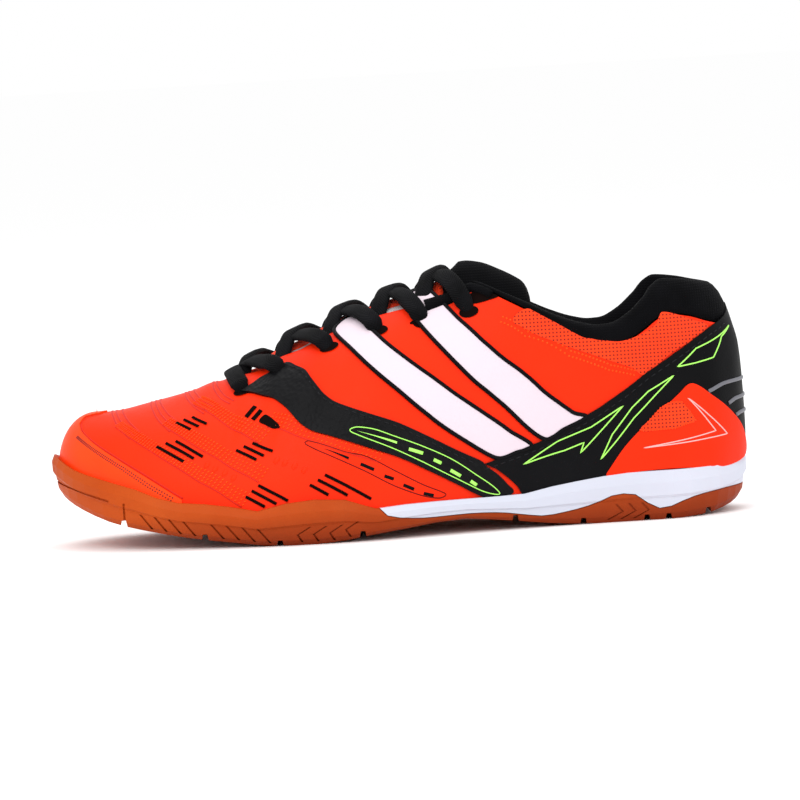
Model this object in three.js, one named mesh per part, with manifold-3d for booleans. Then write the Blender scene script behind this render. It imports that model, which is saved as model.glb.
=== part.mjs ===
// An indoor court shoe for the left foot, built as a shoemaker lasts it: a hollow upper drawn over
// the form of the last, a cupped rubber outsole, a foam midsole behind the ball, a padded collar,
// a tongue, an insole, sewn overlays and a criss-cross lace.
// Millimetres, +Z up. The toe points to -X, and the outer side of the foot faces -Y. The sole's flat
// spots under the forefoot and the heel lie on z = 0.
import * as THREE from "three";
import { mergeVertices } from "three/addons/utils/BufferGeometryUtils.js";
import Module from "manifold-3d";

const wasm = await Module();
wasm.setup();

// Driving dimensions of the whole shoe.
const LENGTH = 285;
const BALL_WIDTH = 103;
const HEEL_HEIGHT = 97; // top of the collar behind the heel, above the floor
const INSTEP_HEIGHT = 106; // the last's ridge at the top eyelets, above the floor
const TOE_HEIGHT = 54.5; // the toe box's crown, above the floor
const TOE_SPRING = 21.5; // the sole's lower edge at the toe, above the floor
const ARCH_RISE = 6; // the sole's lower face at the waist, above the floor
const SOLE_STACK = 14.5; // the footbed at the heel, above the floor
const RIM_HEIGHT = 20; // the sole's rim at the heel, above the floor
const TOE_RIM = 39; // the sole's rim at the toe, above the floor

// Walls, thicknesses and gaps.
const UPPER_WALL = 1.8;
const OVERLAY_THICKNESS = 0.9;
const INSOLE_THICKNESS = 3.5;
const TONGUE_THICKNESS = 4;
const TONGUE_PAD = 3.5; // what the padding adds at the tongue's top
const COLLAR_PADDING = 5.5;
const COLLAR_PROUD = 0.7; // the padded cuff stands this far out of the upper's face
const COLLAR_SKIRT = 16; // the lining reaches this far below the cuff, inside the shoe
const GAP = 0.3;
const COLLAR_SEAM = 0.8; // between the upper's top edge and the cuff's foot, up the face
const LINING_CLEARANCE = 1.5; // between the upper's wall and the lining, level with the floor
const TONGUE_CLEARANCE = 1.8; // between the upper's wall and the tongue

// Lace and eyelets.
const LACE_WIDTH = 7.2;
const LACE_THICKNESS = 2.2;
const EYELET_LENGTH = 8.4;
const EYELET_WIDTH = 3.6;
const EYELET_INSET = 7.5; // from the throat's edge to the top eyelets, seen from above

// Tread.
const GROOVE_MOUTH = 3.9;
const GROOVE_FLOOR = 1.8;
const GROOVE_DEPTH = 2.4;

// How finely the forms are faceted.
const UPPER_STATIONS = 34;
const UPPER_LEVELS = 7;
const SOLE_STATIONS = 36;

// The plan, from above. along: share of LENGTH from the toe. The other columns are shares of
// BALL_WIDTH: the outline's middle, towards the inner side of the foot, half the sole's width, and
// how far the upper's foot lies inside the sole's edge.
const PLAN = [
  { along: 0.0, middle: 0.078, half: 0.0, inset: 0.0 },
  { along: 0.03, middle: 0.073, half: 0.205, inset: 0.022 },
  { along: 0.08, middle: 0.061, half: 0.322, inset: 0.03 },
  { along: 0.15, middle: 0.046, half: 0.41, inset: 0.034 },
  { along: 0.25, middle: 0.027, half: 0.474, inset: 0.035 },
  { along: 0.33, middle: 0.008, half: 0.499, inset: 0.035 },
  { along: 0.4, middle: -0.012, half: 0.494, inset: 0.035 },
  { along: 0.5, middle: -0.026, half: 0.446, inset: 0.034 },
  { along: 0.6, middle: -0.02, half: 0.388, inset: 0.033 },
  { along: 0.7, middle: -0.006, half: 0.35, inset: 0.032 },
  { along: 0.8, middle: 0.008, half: 0.341, inset: 0.031 },
  { along: 0.88, middle: 0.008, half: 0.338, inset: 0.031 },
  { along: 0.94, middle: 0.008, half: 0.272, inset: 0.026 },
  { along: 0.98, middle: 0.008, half: 0.163, inset: 0.018 },
  { along: 1.0, middle: 0.008, half: 0.0, inset: 0.0 },
];

// The sole's lower face, as shares of TOE_SPRING, of ARCH_RISE and of the heel's own bevel.
const HEEL_BEVEL = 8;
const TREAD_LINE = [
  { along: 0.0, spring: 1.12, arch: 0, bevel: 0 },
  { along: 0.013, spring: 1.0, arch: 0, bevel: 0 },
  { along: 0.03, spring: 0.85, arch: 0, bevel: 0 },
  { along: 0.055, spring: 0.68, arch: 0, bevel: 0 },
  { along: 0.09, spring: 0.5, arch: 0, bevel: 0 },
  { along: 0.13, spring: 0.375, arch: 0, bevel: 0 },
  { along: 0.2, spring: 0.2, arch: 0, bevel: 0 },
  { along: 0.27, spring: 0.075, arch: 0, bevel: 0 },
  { along: 0.32, spring: 0.0, arch: 0, bevel: 0 },
  { along: 0.385, spring: 0.0, arch: 0.0, bevel: 0 },
  { along: 0.43, spring: 0.0, arch: 0.28, bevel: 0 },
  { along: 0.5, spring: 0.0, arch: 0.66, bevel: 0 },
  { along: 0.575, spring: 0.0, arch: 1.0, bevel: 0 },
  { along: 0.64, spring: 0.0, arch: 0.68, bevel: 0 },
  { along: 0.71, spring: 0.0, arch: 0.22, bevel: 0 },
  { along: 0.78, spring: 0.0, arch: 0.0, bevel: 0 },
  { along: 0.885, spring: 0.0, arch: 0.0, bevel: 0.0 },
  { along: 0.93, spring: 0.0, arch: 0.0, bevel: 0.1 },
  { along: 0.965, spring: 0.0, arch: 0.0, bevel: 0.38 },
  { along: 0.985, spring: 0.0, arch: 0.0, bevel: 0.7 },
  { along: 1.0, spring: 0.0, arch: 0.0, bevel: 1.0 },
];

// The sole's rim, on which the upper's edge is bonded, and the footbed inside it. bed: share of
// SOLE_STACK. rim: share of RIM_HEIGHT. toe: share of TOE_RIM, which takes over towards the toe.
const RIM_LINE = [
  { along: 0.0, bed: 0.0, toeBed: 0.77, rim: 0.0, toe: 1.0 },
  { along: 0.035, bed: 0.0, toeBed: 0.67, rim: 0.0, toe: 0.83 },
  { along: 0.07, bed: 0.0, toeBed: 0.55, rim: 0.0, toe: 0.745 },
  { along: 0.13, bed: 0.0, toeBed: 0.4, rim: 0.0, toe: 0.61 },
  { along: 0.17, bed: 0.0, toeBed: 0.33, rim: 0.0, toe: 0.49 },
  { along: 0.2, bed: 0.0, toeBed: 0.29, rim: 0.0, toe: 0.475 },
  { along: 0.235, bed: 0.25, toeBed: 0.16, rim: 0.3, toe: 0.3 },
  { along: 0.27, bed: 0.55, toeBed: 0.0, rim: 0.79, toe: 0.0 },
  { along: 0.3, bed: 0.54, toeBed: 0.0, rim: 0.7, toe: 0.0 },
  { along: 0.335, bed: 0.53, toeBed: 0.0, rim: 0.86, toe: 0.0 },
  { along: 0.38, bed: 0.53, toeBed: 0.0, rim: 0.9, toe: 0.0 },
  { along: 0.42, bed: 0.55, toeBed: 0.0, rim: 0.85, toe: 0.0 },
  { along: 0.45, bed: 0.58, toeBed: 0.0, rim: 0.64, toe: 0.0 },
  { along: 0.47, bed: 0.61, toeBed: 0.0, rim: 0.67, toe: 0.0 },
  { along: 0.56, bed: 0.74, toeBed: 0.0, rim: 0.7, toe: 0.0 },
  { along: 0.66, bed: 0.87, toeBed: 0.0, rim: 0.7, toe: 0.0 },
  { along: 0.72, bed: 0.93, toeBed: 0.0, rim: 0.84, toe: 0.0 },
  { along: 0.84, bed: 1.0, toeBed: 0.0, rim: 1.0, toe: 0.0 },
  { along: 0.965, bed: 1.02, toeBed: 0.0, rim: 1.0, toe: 0.0 },
  { along: 0.985, bed: 1.03, toeBed: 0.0, rim: 1.06, toe: 0.0 },
  { along: 1.0, bed: 1.03, toeBed: 0.0, rim: 1.25, toe: 0.0 },
];

// The sole's side in section: height as a share from the lower face to the rim, and how far the
// side lies inside the outline there, as a share of BALL_WIDTH. It steps out above the tread wall.
const SIDE_STEPS = [
  { height: 0.0, inset: 0.04 },
  { height: 0.13, inset: 0.021 },
  { height: 0.44, inset: 0.0125 },
  { height: 0.5, inset: 0.0015 },
  { height: 0.76, inset: 0.0 },
  { height: 1.0, inset: 0.0115 },
];

// Where foam meets rubber behind the ball: the foam's lower edge, as a share of RIM_HEIGHT.
const FOAM_LINE = [
  { along: 0.456, height: 0.74 },
  { along: 0.459, height: 0.62 },
  { along: 0.47, height: 0.51 },
  { along: 0.49, height: 0.435 },
  { along: 0.53, height: 0.385 },
  { along: 0.59, height: 0.4 },
  { along: 0.63, height: 0.375 },
  { along: 0.66, height: 0.31 },
  { along: 0.697, height: 0.235 },
  { along: 0.725, height: 0.28 },
  { along: 0.755, height: 0.36 },
  { along: 0.78, height: 0.47 },
  { along: 0.803, height: 0.58 },
  { along: 0.822, height: 0.57 },
  { along: 0.834, height: 0.49 },
  { along: 0.849, height: 0.31 },
  { along: 0.862, height: 0.235 },
  { along: 0.877, height: 0.26 },
  { along: 0.905, height: 0.4 },
  { along: 0.935, height: 0.48 },
  { along: 0.97, height: 0.53 },
  { along: 1.03, height: 0.55 },
];

// The last. crown and instep: the ridge's height as shares of TOE_HEIGHT and INSTEP_HEIGHT, added.
// Behind the top eyelets the ridge is the last's own cone, which the collar cuts away. full: the
// power of the section's curve, from arched to boxy. lean: how far the ridge lies to the inner side
// of the foot's middle, as a share of BALL_WIDTH.
const LAST = [
  { along: 0.0, crown: 0.99, instep: 0.0, full: 2.35, lean: 0.0 },
  { along: 0.07, crown: 0.995, instep: 0.0, full: 2.3, lean: 0.0 },
  { along: 0.1, crown: 1.005, instep: 0.0, full: 2.2, lean: 0.004 },
  { along: 0.145, crown: 1.05, instep: 0.0, full: 2.1, lean: 0.01 },
  { along: 0.21, crown: 1.125, instep: 0.0, full: 2.0, lean: 0.02 },
  { along: 0.245, crown: 1.18, instep: 0.0, full: 1.95, lean: 0.03 },
  { along: 0.28, crown: 0.62, instep: 0.32, full: 1.92, lean: 0.036 },
  { along: 0.32, crown: 0.0, instep: 0.69, full: 1.9, lean: 0.042 },
  { along: 0.37, crown: 0.0, instep: 0.75, full: 1.95, lean: 0.048 },
  { along: 0.4, crown: 0.0, instep: 0.79, full: 2.0, lean: 0.05 },
  { along: 0.48, crown: 0.0, instep: 0.868, full: 2.1, lean: 0.048 },
  { along: 0.545, crown: 0.0, instep: 0.92, full: 2.15, lean: 0.042 },
  { along: 0.59, crown: 0.0, instep: 0.975, full: 2.18, lean: 0.036 },
  { along: 0.62, crown: 0.0, instep: 1.05, full: 2.18, lean: 0.03 },
  { along: 0.655, crown: 0.0, instep: 1.17, full: 2.18, lean: 0.024 },
  { along: 0.69, crown: 0.0, instep: 1.27, full: 2.2, lean: 0.018 },
  { along: 0.73, crown: 0.0, instep: 1.33, full: 2.2, lean: 0.01 },
  { along: 0.8, crown: 0.0, instep: 1.35, full: 2.25, lean: 0.004 },
  { along: 0.88, crown: 0.0, instep: 1.34, full: 2.25, lean: 0.0 },
  { along: 1.0, crown: 0.0, instep: 1.32, full: 2.2, lean: 0.0 },
];

// The toe's front and the heel's back in side view, by level from the feather edge to the ridge:
// how far each stands in from the sole's own ends, as shares of LENGTH.
const TOE_POWER = 2.3;
const TOE_FRONT_INSET = 0.0115;
const TOE_FRONT_DEPTH = 0.058;
const HEEL_BACK = [
  { level: 0.0, inset: 0.009 },
  { level: 0.08, inset: 0.004 },
  { level: 0.16, inset: 0.003 },
  { level: 0.32, inset: 0.0045 },
  { level: 0.42, inset: 0.0075 },
  { level: 0.5, inset: 0.016 },
  { level: 0.58, inset: 0.027 },
  { level: 0.65, inset: 0.04 },
  { level: 1.0, inset: 0.11 },
];

// The throat's half width along the instep, as a share of BALL_WIDTH.
const THROAT_START = 0.272;
const THROAT = [
  { along: THROAT_START, half: 0.0 },
  { along: 0.276, half: 0.045 },
  { along: 0.286, half: 0.082 },
  { along: 0.305, half: 0.105 },
  { along: 0.36, half: 0.122 },
  { along: 0.46, half: 0.132 },
  { along: 0.56, half: 0.145 },
  { along: 0.6, half: 0.156 },
  { along: 0.63, half: 0.178 },
  { along: 0.68, half: 0.19 },
];

// The collar's top edge, as a share of HEEL_HEIGHT, and the cuff's height on the outer face.
const CUFF_HEIGHT = 16;
const COLLAR = [
  { along: 0.6, top: 1.045, cuff: 0.1 },
  { along: 0.625, top: 1.03, cuff: 0.12 },
  { along: 0.65, top: 0.995, cuff: 0.15 },
  { along: 0.685, top: 0.945, cuff: 0.19 },
  { along: 0.735, top: 0.872, cuff: 0.28 },
  { along: 0.765, top: 0.84, cuff: 0.4 },
  { along: 0.79, top: 0.826, cuff: 0.47 },
  { along: 0.805, top: 0.828, cuff: 0.52 },
  { along: 0.83, top: 0.862, cuff: 0.65 },
  { along: 0.855, top: 0.925, cuff: 0.78 },
  { along: 0.875, top: 0.98, cuff: 0.86 },
  { along: 0.89, top: 1.0, cuff: 0.88 },
  { along: 0.92, top: 0.992, cuff: 0.92 },
  { along: 0.95, top: 0.975, cuff: 1.0 },
  { along: 1.0, top: 0.955, cuff: 1.1 },
];

// The tongue: its crest over the last's ridge, half width, and where its padding is. Lengths are
// shares of INSTEP_HEIGHT and BALL_WIDTH.
const TONGUE_END = 0.7;
const TONGUE = [
  { along: 0.252, crest: 0.0, half: 0.17, pad: 0.0 },
  { along: 0.3, crest: 0.0, half: 0.2, pad: 0.0 },
  { along: 0.4, crest: 0.0, half: 0.23, pad: 0.05 },
  { along: 0.5, crest: 0.0, half: 0.235, pad: 0.2 },
  { along: 0.56, crest: 0.0, half: 0.205, pad: 0.5 },
  { along: 0.59, crest: 0.012, half: 0.165, pad: 0.9 },
  { along: 0.61, crest: 0.02, half: 0.142, pad: 1.0 },
  { along: 0.63, crest: 0.012, half: 0.132, pad: 1.0 },
  { along: 0.66, crest: -0.022, half: 0.127, pad: 1.0 },
  { along: 0.685, crest: -0.06, half: 0.12, pad: 0.9 },
  { along: TONGUE_END, crest: -0.092, half: 0.1, pad: 0.7 },
];

// The lace's rows, from the toe: along as a share of LENGTH, inset as one of EYELET_INSET.
const EYELETS = [
  { along: 0.281, inset: 1.85 },
  { along: 0.338, inset: 1.35 },
  { along: 0.407, inset: 1.15 },
  { along: 0.478, inset: 1.05 },
  { along: 0.542, inset: 1.0 },
  { along: 0.608, inset: 0.9 },
];

// Reads one column of a table as a smooth curve that never overshoots its rows.
function curve(rows, key, column) {
  const xs = rows.map((row) => row[key]);
  const ys = rows.map((row) => row[column]);
  const last = xs.length - 1;
  const steps = xs.slice(1).map((x, i) => x - xs[i]);
  const slopes = steps.map((step, i) => (ys[i + 1] - ys[i]) / step);
  const tangents = xs.map((_, i) => {
    if (i === 0) return slopes[0];
    if (i === last) return slopes[last - 1];
    if (slopes[i - 1] * slopes[i] <= 0) return 0;
    const before = 2 * steps[i] + steps[i - 1];
    const after = steps[i] + 2 * steps[i - 1];
    return (before + after) / (before / slopes[i - 1] + after / slopes[i]);
  });
  return (x) => {
    if (x <= xs[0]) return ys[0];
    if (x >= xs[last]) return ys[last];
    let i = 0;
    while (x > xs[i + 1]) i++;
    const t = (x - xs[i]) / steps[i];
    const rise = t * t * (3 - 2 * t);
    const lead = t * (1 - t) * (1 - t) * steps[i] * tangents[i];
    const trail = t * t * (1 - t) * steps[i] * tangents[i + 1];
    return ys[i] + (ys[i + 1] - ys[i]) * rise + lead - trail;
  };
}

// A share along the plan as an angle, which keeps the toe and heel round.
const turn = (along) => Math.acos(1 - 2 * Math.min(1, Math.max(0, along)));
const planTable = PLAN.map((row) => ({ ...row, turn: turn(row.along) }));
const planCurve = (column) => {
  const read = curve(planTable, "turn", column);
  return (along) => BALL_WIDTH * read(turn(along));
};
const middle = planCurve("middle");
const soleHalf = planCurve("half");
const upperInset = planCurve("inset");

const spring = curve(TREAD_LINE, "along", "spring");
const arch = curve(TREAD_LINE, "along", "arch");
const bevel = curve(TREAD_LINE, "along", "bevel");
const tread = (x) => {
  const along = x / LENGTH;
  return TOE_SPRING * spring(along) + ARCH_RISE * arch(along) + HEEL_BEVEL * bevel(along);
};
const bedShare = curve(RIM_LINE, "along", "bed");
const toeBedShare = curve(RIM_LINE, "along", "toeBed");
const rimShare = curve(RIM_LINE, "along", "rim");
const toeRimShare = curve(RIM_LINE, "along", "toe");
const bed = (x) => SOLE_STACK * bedShare(x / LENGTH) + TOE_RIM * toeBedShare(x / LENGTH);
const rim = (x) => RIM_HEIGHT * rimShare(x / LENGTH) + TOE_RIM * toeRimShare(x / LENGTH);
const foamShare = curve(FOAM_LINE, "along", "height");
const foamLine = (x) => RIM_HEIGHT * foamShare(x / LENGTH);

const crown = curve(LAST, "along", "crown");
const instep = curve(LAST, "along", "instep");
const fullness = curve(LAST, "along", "full");
const lean = curve(LAST, "along", "lean");
const ridge = (x) => TOE_HEIGHT * crown(x / LENGTH) + INSTEP_HEIGHT * instep(x / LENGTH);
const heelInset = curve(HEEL_BACK, "level", "inset");
const throatShare = curve(THROAT, "along", "half");
const THROAT_END = 0.68; // behind this share the collar's line takes over from the throat's
const throatHalf = (x) => (x / LENGTH > THROAT_END ? 0 : BALL_WIDTH * throatShare(x / LENGTH));
const collarShare = curve(COLLAR, "along", "top");
const cuffShare = curve(COLLAR, "along", "cuff");
const collarTop = (x) => HEEL_HEIGHT * collarShare(x / LENGTH);
const cuffHeight = (x) => CUFF_HEIGHT * cuffShare(x / LENGTH);

// A quarter of a rounded section: 1 at the foot, 0 at the ridge.
const quarter = (level, power) => Math.pow(Math.max(0, 1 - Math.pow(level, power)), 1 / power);
const toeFront = (level) => LENGTH * (TOE_FRONT_INSET + TOE_FRONT_DEPTH * (1 - quarter(level, TOE_POWER)));
const heelBack = (level) => LENGTH * (1 - heelInset(level));

// A point of the last: along from toe to heel, level from the feather edge to the ridge, and side
// -1 for the outer half of the foot or 1 for the inner half.
function lastPoint(along, level, side) {
  const front = toeFront(level);
  const x = front + along * (heelBack(level) - front);
  const foot = bed(x) + GAP;
  const half = (soleHalf(along) - upperInset(along)) * quarter(level, fullness(along));
  const centre = middle(along) + BALL_WIDTH * lean(along) * level;
  return new THREE.Vector3(x, centre + side * half, foot + level * (ridge(x) - foot));
}

// The highest level up to which a test holds, found by halving.
function levelWhere(holds) {
  if (holds(1)) return 1;
  let low = 0;
  let high = 1;
  for (let i = 0; i < 40; i++) {
    const trial = (low + high) / 2;
    if (holds(trial)) low = trial;
    else high = trial;
  }
  return low;
}

// Half of the last's width at a level, and the level of the throat's edge and of the collar.
const halfAt = (along, level) => (soleHalf(along) - upperInset(along)) * quarter(level, fullness(along));
const throatLevel = (along) =>
  levelWhere((level) => halfAt(along, level) >= throatHalf(lastPoint(along, level, 1).x));
const belowLine = (along, line) =>
  levelWhere((level) => {
    const point = lastPoint(along, level, 1);
    return point.x / LENGTH < COLLAR[0].along || point.z <= line(point.x);
  });
const upperEdge = (along) =>
  Math.min(throatLevel(along), belowLine(along, (x) => collarTop(x) - cuffHeight(x) - COLLAR_SEAM / 2));

// The stations run closer at the toe and the heel, where the plan turns.
const stations = (count) =>
  [...Array(count + 1).keys()].map((i) => (1 - Math.cos((Math.PI * i) / count)) / 2);

const SHARPEST = 0.7; // the least cosine that an offset point makes up for

// An open surface as points and faces, with coinciding points joined.
class Surface {
  constructor() {
    this.points = [];
    this.faces = [];
    this.known = new Map();
  }
  point(p) {
    const key = [p.x, p.y, p.z].map((v) => Math.round(v * 1e4)).join(",");
    if (!this.known.has(key)) {
      this.known.set(key, this.points.length);
      this.points.push(p.clone());
    }
    return this.known.get(key);
  }
  face(a, b, c) {
    if (a !== b && b !== c && c !== a) this.faces.push([a, b, c]);
  }
  // A grid of rows of points, seen counter-clockwise with rows to the right and columns up.
  grid(rows, flipped = false) {
    const ids = rows.map((row) => row.map((p) => this.point(p)));
    for (let i = 0; i + 1 < ids.length; i++)
      for (let j = 0; j + 1 < ids[i].length; j++) {
        const [a, b, c, d] = [ids[i][j], ids[i + 1][j], ids[i + 1][j + 1], ids[i][j + 1]];
        const triangles = [[a, b, c], [a, c, d]];
        triangles.forEach(([p, q, r]) => (flipped ? this.face(p, r, q) : this.face(p, q, r)));
      }
    return this;
  }
  // A vector at each point, along which one millimetre clears every face there by a millimetre.
  normals() {
    const crosses = this.faces.map(([a, b, c]) => {
      const ab = this.points[b].clone().sub(this.points[a]);
      const ac = this.points[c].clone().sub(this.points[a]);
      return ab.cross(ac);
    });
    const sums = this.points.map(() => new THREE.Vector3());
    this.faces.forEach((face, i) => face.forEach((j) => sums[j].add(crosses[i])));
    sums.forEach((sum) => sum.normalize());
    const slack = this.points.map(() => 1);
    this.faces.forEach((face, i) => {
      const facing = crosses[i].clone().normalize();
      face.forEach((j) => {
        slack[j] = Math.min(slack[j], Math.max(SHARPEST, facing.dot(sums[j])));
      });
    });
    return sums.map((sum, i) => sum.divideScalar(slack[i]));
  }
}

function geometryOf(points, faces) {
  const geometry = new THREE.BufferGeometry();
  const flat = points.flatMap((p) => [p.x, p.y, p.z]);
  geometry.setAttribute("position", new THREE.Float32BufferAttribute(flat, 3));
  geometry.setIndex(faces.flat());
  return geometry;
}

// A point of the last's foot stays level with it when it is moved off the surface.
const onFoot = (p) => Math.abs(p.z - bed(p.x) - GAP) < 1e-3;

// A wall over a surface, from one offset along its normals to another. The offsets may be
// functions of the point.
function wall(surface, outer, inner) {
  const normals = surface.normals();
  const count = surface.points.length;
  const offset = (amount) =>
    surface.points.map((p, i) => {
      const size = typeof amount === "function" ? amount(p) : amount;
      const moved = p.clone().addScaledVector(normals[i], size);
      if (onFoot(p)) moved.z = bed(moved.x) + GAP;
      return moved;
    });
  const points = [...offset(outer), ...offset(inner)];
  const faces = surface.faces.flatMap(([a, b, c]) => [[a, b, c], [a + count, c + count, b + count]]);
  const open = new Map();
  for (const face of surface.faces)
    face.forEach((a, i) => {
      const b = face[(i + 1) % 3];
      if (!open.delete(`${b},${a}`)) open.set(`${a},${b}`, [a, b]);
    });
  for (const [a, b] of open.values()) faces.push([b, a, a + count], [b, a + count, b + count]);
  return geometryOf(points, faces);
}

// A solid through closed rings of equal length, each closed at both ends by strips across it.
function stack(rings) {
  const count = rings[0].length;
  const half = count / 2;
  const points = rings.flat();
  const faces = [];
  for (let k = 0; k + 1 < rings.length; k++)
    for (let i = 0; i < count; i++) {
      const a = k * count + i;
      const b = k * count + ((i + 1) % count);
      faces.push([a, b, b + count], [a, b + count, a + count]);
    }
  const cap = (base, up) => {
    for (let i = 0; i < half; i++) {
      const [a, b] = [base + i, base + i + 1];
      const [c, d] = [base + ((count - i - 1) % count), base + ((count - i) % count)];
      const strip = i === 0 ? [[a, b, c]] : i === half - 1 ? [[a, b, d]] : [[a, b, c], [a, c, d]];
      strip.forEach(([p, q, r]) => faces.push(up ? [p, q, r] : [p, r, q]));
    }
  };
  cap(0, false);
  cap((rings.length - 1) * count, true);
  return geometryOf(points, faces);
}

// three.js geometry as a solid for cutting and joining, and back.
function solidOf(geometry) {
  const bare = geometry.clone();
  bare.deleteAttribute("normal");
  bare.deleteAttribute("uv");
  const merged = mergeVertices(bare, 1e-4);
  const mesh = new wasm.Mesh({
    numProp: 3,
    vertProperties: new Float32Array(merged.attributes.position.array),
    triVerts: new Uint32Array(merged.index.array),
  });
  return new wasm.Manifold(mesh);
}

function geometryFrom(solid) {
  const mesh = solid.getMesh();
  const geometry = new THREE.BufferGeometry();
  const flat = new Float32Array(mesh.numVert * 3);
  for (let i = 0; i < mesh.numVert; i++)
    flat.set(mesh.vertProperties.subarray(i * mesh.numProp, i * mesh.numProp + 3), i * 3);
  geometry.setAttribute("position", new THREE.BufferAttribute(flat, 3));
  geometry.setIndex(new THREE.BufferAttribute(mesh.triVerts, 1));
  return geometry;
}

// The biggest of a solid's separate pieces.
function mainPiece(solid) {
  const pieces = solid.decompose();
  return pieces.reduce((best, piece) => (piece.volume() > best.volume() ? piece : best));
}

// A prism over an outline drawn in side view, from one y to another.
function sidePrism(outline, fromY, toY) {
  const shape = new THREE.Shape(outline.map(([x, z]) => new THREE.Vector2(x, z)));
  const prism = new THREE.ExtrudeGeometry(shape, { depth: toY - fromY, bevelEnabled: false });
  prism.rotateX(Math.PI / 2);
  prism.translate(0, toY, 0);
  return solidOf(prism);
}

// The last's skin over both sides, from the feather edge up to a level given for each station.
function skin(topLevel, along = stations(UPPER_STATIONS)) {
  const surface = new Surface();
  const shares = [...Array(UPPER_LEVELS + 1).keys()].map((j) => j / UPPER_LEVELS);
  const rows = (side) =>
    along.map((s) => {
      const top = topLevel(s);
      return shares.map((share) => lastPoint(s, top * Math.pow(share, 0.9), side));
    });
  surface.grid(rows(-1));
  surface.grid(rows(1), true);
  return surface;
}

const lastedSkin = skin(upperEdge);

// The height of the last's skin over a place in plan, for the tongue and the lace.
function lastTop(x, y) {
  const alongAt = (level) => (x - toeFront(level)) / (heelBack(level) - toeFront(level));
  const aside = (level) => {
    const along = alongAt(level);
    return Math.abs(y - middle(along) - BALL_WIDTH * lean(along) * level);
  };
  const level = levelWhere((trial) => halfAt(alongAt(trial), trial) >= aside(trial));
  const foot = bed(x) + GAP;
  return foot + level * (ridge(x) - foot);
}
const ridgeMiddle = (x) => middle(x / LENGTH) + BALL_WIDTH * lean(x / LENGTH);

// A ring of the sole, from the toe round the outer side to the heel and back along the inner side.
// Grown, it stands that much outside the sole's own surface.
function soleRing(step, grown = 0) {
  const inset = BALL_WIDTH * step.inset - grown;
  const narrow = 1 - inset / (BALL_WIDTH * Math.max(...PLAN.map((row) => row.half)));
  const along = stations(SOLE_STATIONS);
  const place = (s, side) => {
    const x = inset + s * (LENGTH - 2 * inset);
    const y = middle(s) + side * soleHalf(s) * narrow;
    const height = tread(x) + step.height * (rim(x) - tread(x));
    return new THREE.Vector3(x, y, height + grown * (2 * step.height - 1));
  };
  const outer = along.map((s) => place(s, -1));
  const inner = along.slice(1, -1).reverse().map((s) => place(s, 1));
  return [...outer, ...inner];
}

// Everything inside the sole's rim: the upper's own form with its gap, down to the footbed.
function recess() {
  const form = lastedSkin;
  const normals = form.normals();
  const points = form.points.map((p, i) => {
    const moved = p.clone().addScaledVector(normals[i], GAP);
    if (onFoot(p)) moved.z = bed(moved.x);
    return moved;
  });
  const faces = [...form.faces];
  const along = stations(UPPER_STATIONS);
  const strip = (level, up) => {
    const at = (s, side) => form.point(lastPoint(s, level(s), side));
    for (let i = 0; i + 1 < along.length; i++) {
      const [a, b] = [at(along[i], -1), at(along[i + 1], -1)];
      const [c, d] = [at(along[i + 1], 1), at(along[i], 1)];
      const pair = up ? [[a, b, c], [a, c, d]] : [[a, c, b], [a, d, c]];
      pair.filter((face) => new Set(face).size === 3).forEach((face) => faces.push(face));
    }
  };
  strip(() => 0, false);
  strip(upperEdge, true);
  return solidOf(geometryOf(points, faces));
}

// Cuts across the tread that let the sole flex.
const GROOVES = [0.101, 0.215, 0.32, 0.437, 0.655, 0.752, 0.843, 0.874, 0.933];
function grooveCutters() {
  return GROOVES.map((along) => {
    const x = LENGTH * along;
    const top = tread(x) + GROOVE_DEPTH;
    const foot = Math.min(tread(x - GROOVE_MOUTH), tread(x + GROOVE_MOUTH)) - GROOVE_DEPTH;
    const outline = [
      [x - GROOVE_MOUTH / 2, foot],
      [x + GROOVE_MOUTH / 2, foot],
      [x + GROOVE_FLOOR / 2, top],
      [x - GROOVE_FLOOR / 2, top],
    ];
    return sidePrism(outline, -BALL_WIDTH, BALL_WIDTH);
  });
}

// Ribs moulded in the tread's side, left standing between shallow cuts. from and to: shares of
// LENGTH. lean and bend: how far a cut's top and its middle lie from its foot, in RIB_HEIGHTs.
const RIB_HEIGHT = 6.2;
const RIB_FOOT = 1.2; // the cuts start this far above the tread's edge
const RIB_CUT = 0.9; // a cut's width
const RIB_DEPTH = 0.8;
const RIBS = [
  { from: 0.14, to: 0.2, cuts: 4, lean: -0.75, bend: -0.375 },
  { from: 0.24, to: 0.305, cuts: 4, lean: -0.8, bend: -0.4 },
  { from: 0.35, to: 0.418, cuts: 4, lean: 0.55, bend: -0.3 },
  { from: 0.785, to: 0.822, cuts: 3, lean: 0.6, bend: 1.0 },
];
const shallowCore = solidOf(stack(SIDE_STEPS.map((step) => soleRing(step, -RIB_DEPTH))));
const shallowCut = (outline) => sidePrism(outline, -BALL_WIDTH, BALL_WIDTH).subtract(shallowCore);
function ribCutters() {
  return RIBS.flatMap((group) =>
    [...Array(group.cuts).keys()].map((i) => {
      const x = LENGTH * (group.from + ((group.to - group.from) * i) / (group.cuts - 1));
      const foot = tread(x) + RIB_FOOT;
      const straight = group.bend === group.lean / 2;
      const elbow = straight ? [] : [[x + group.bend * RIB_HEIGHT, foot + RIB_HEIGHT / 2]];
      const line = [[x, foot], ...elbow, [x + group.lean * RIB_HEIGHT, foot + RIB_HEIGHT]];
      const back = [...line].reverse().map(([px, pz]) => [px + RIB_CUT, pz]);
      return shallowCut([...line, ...back]);
    }),
  );
}

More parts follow.
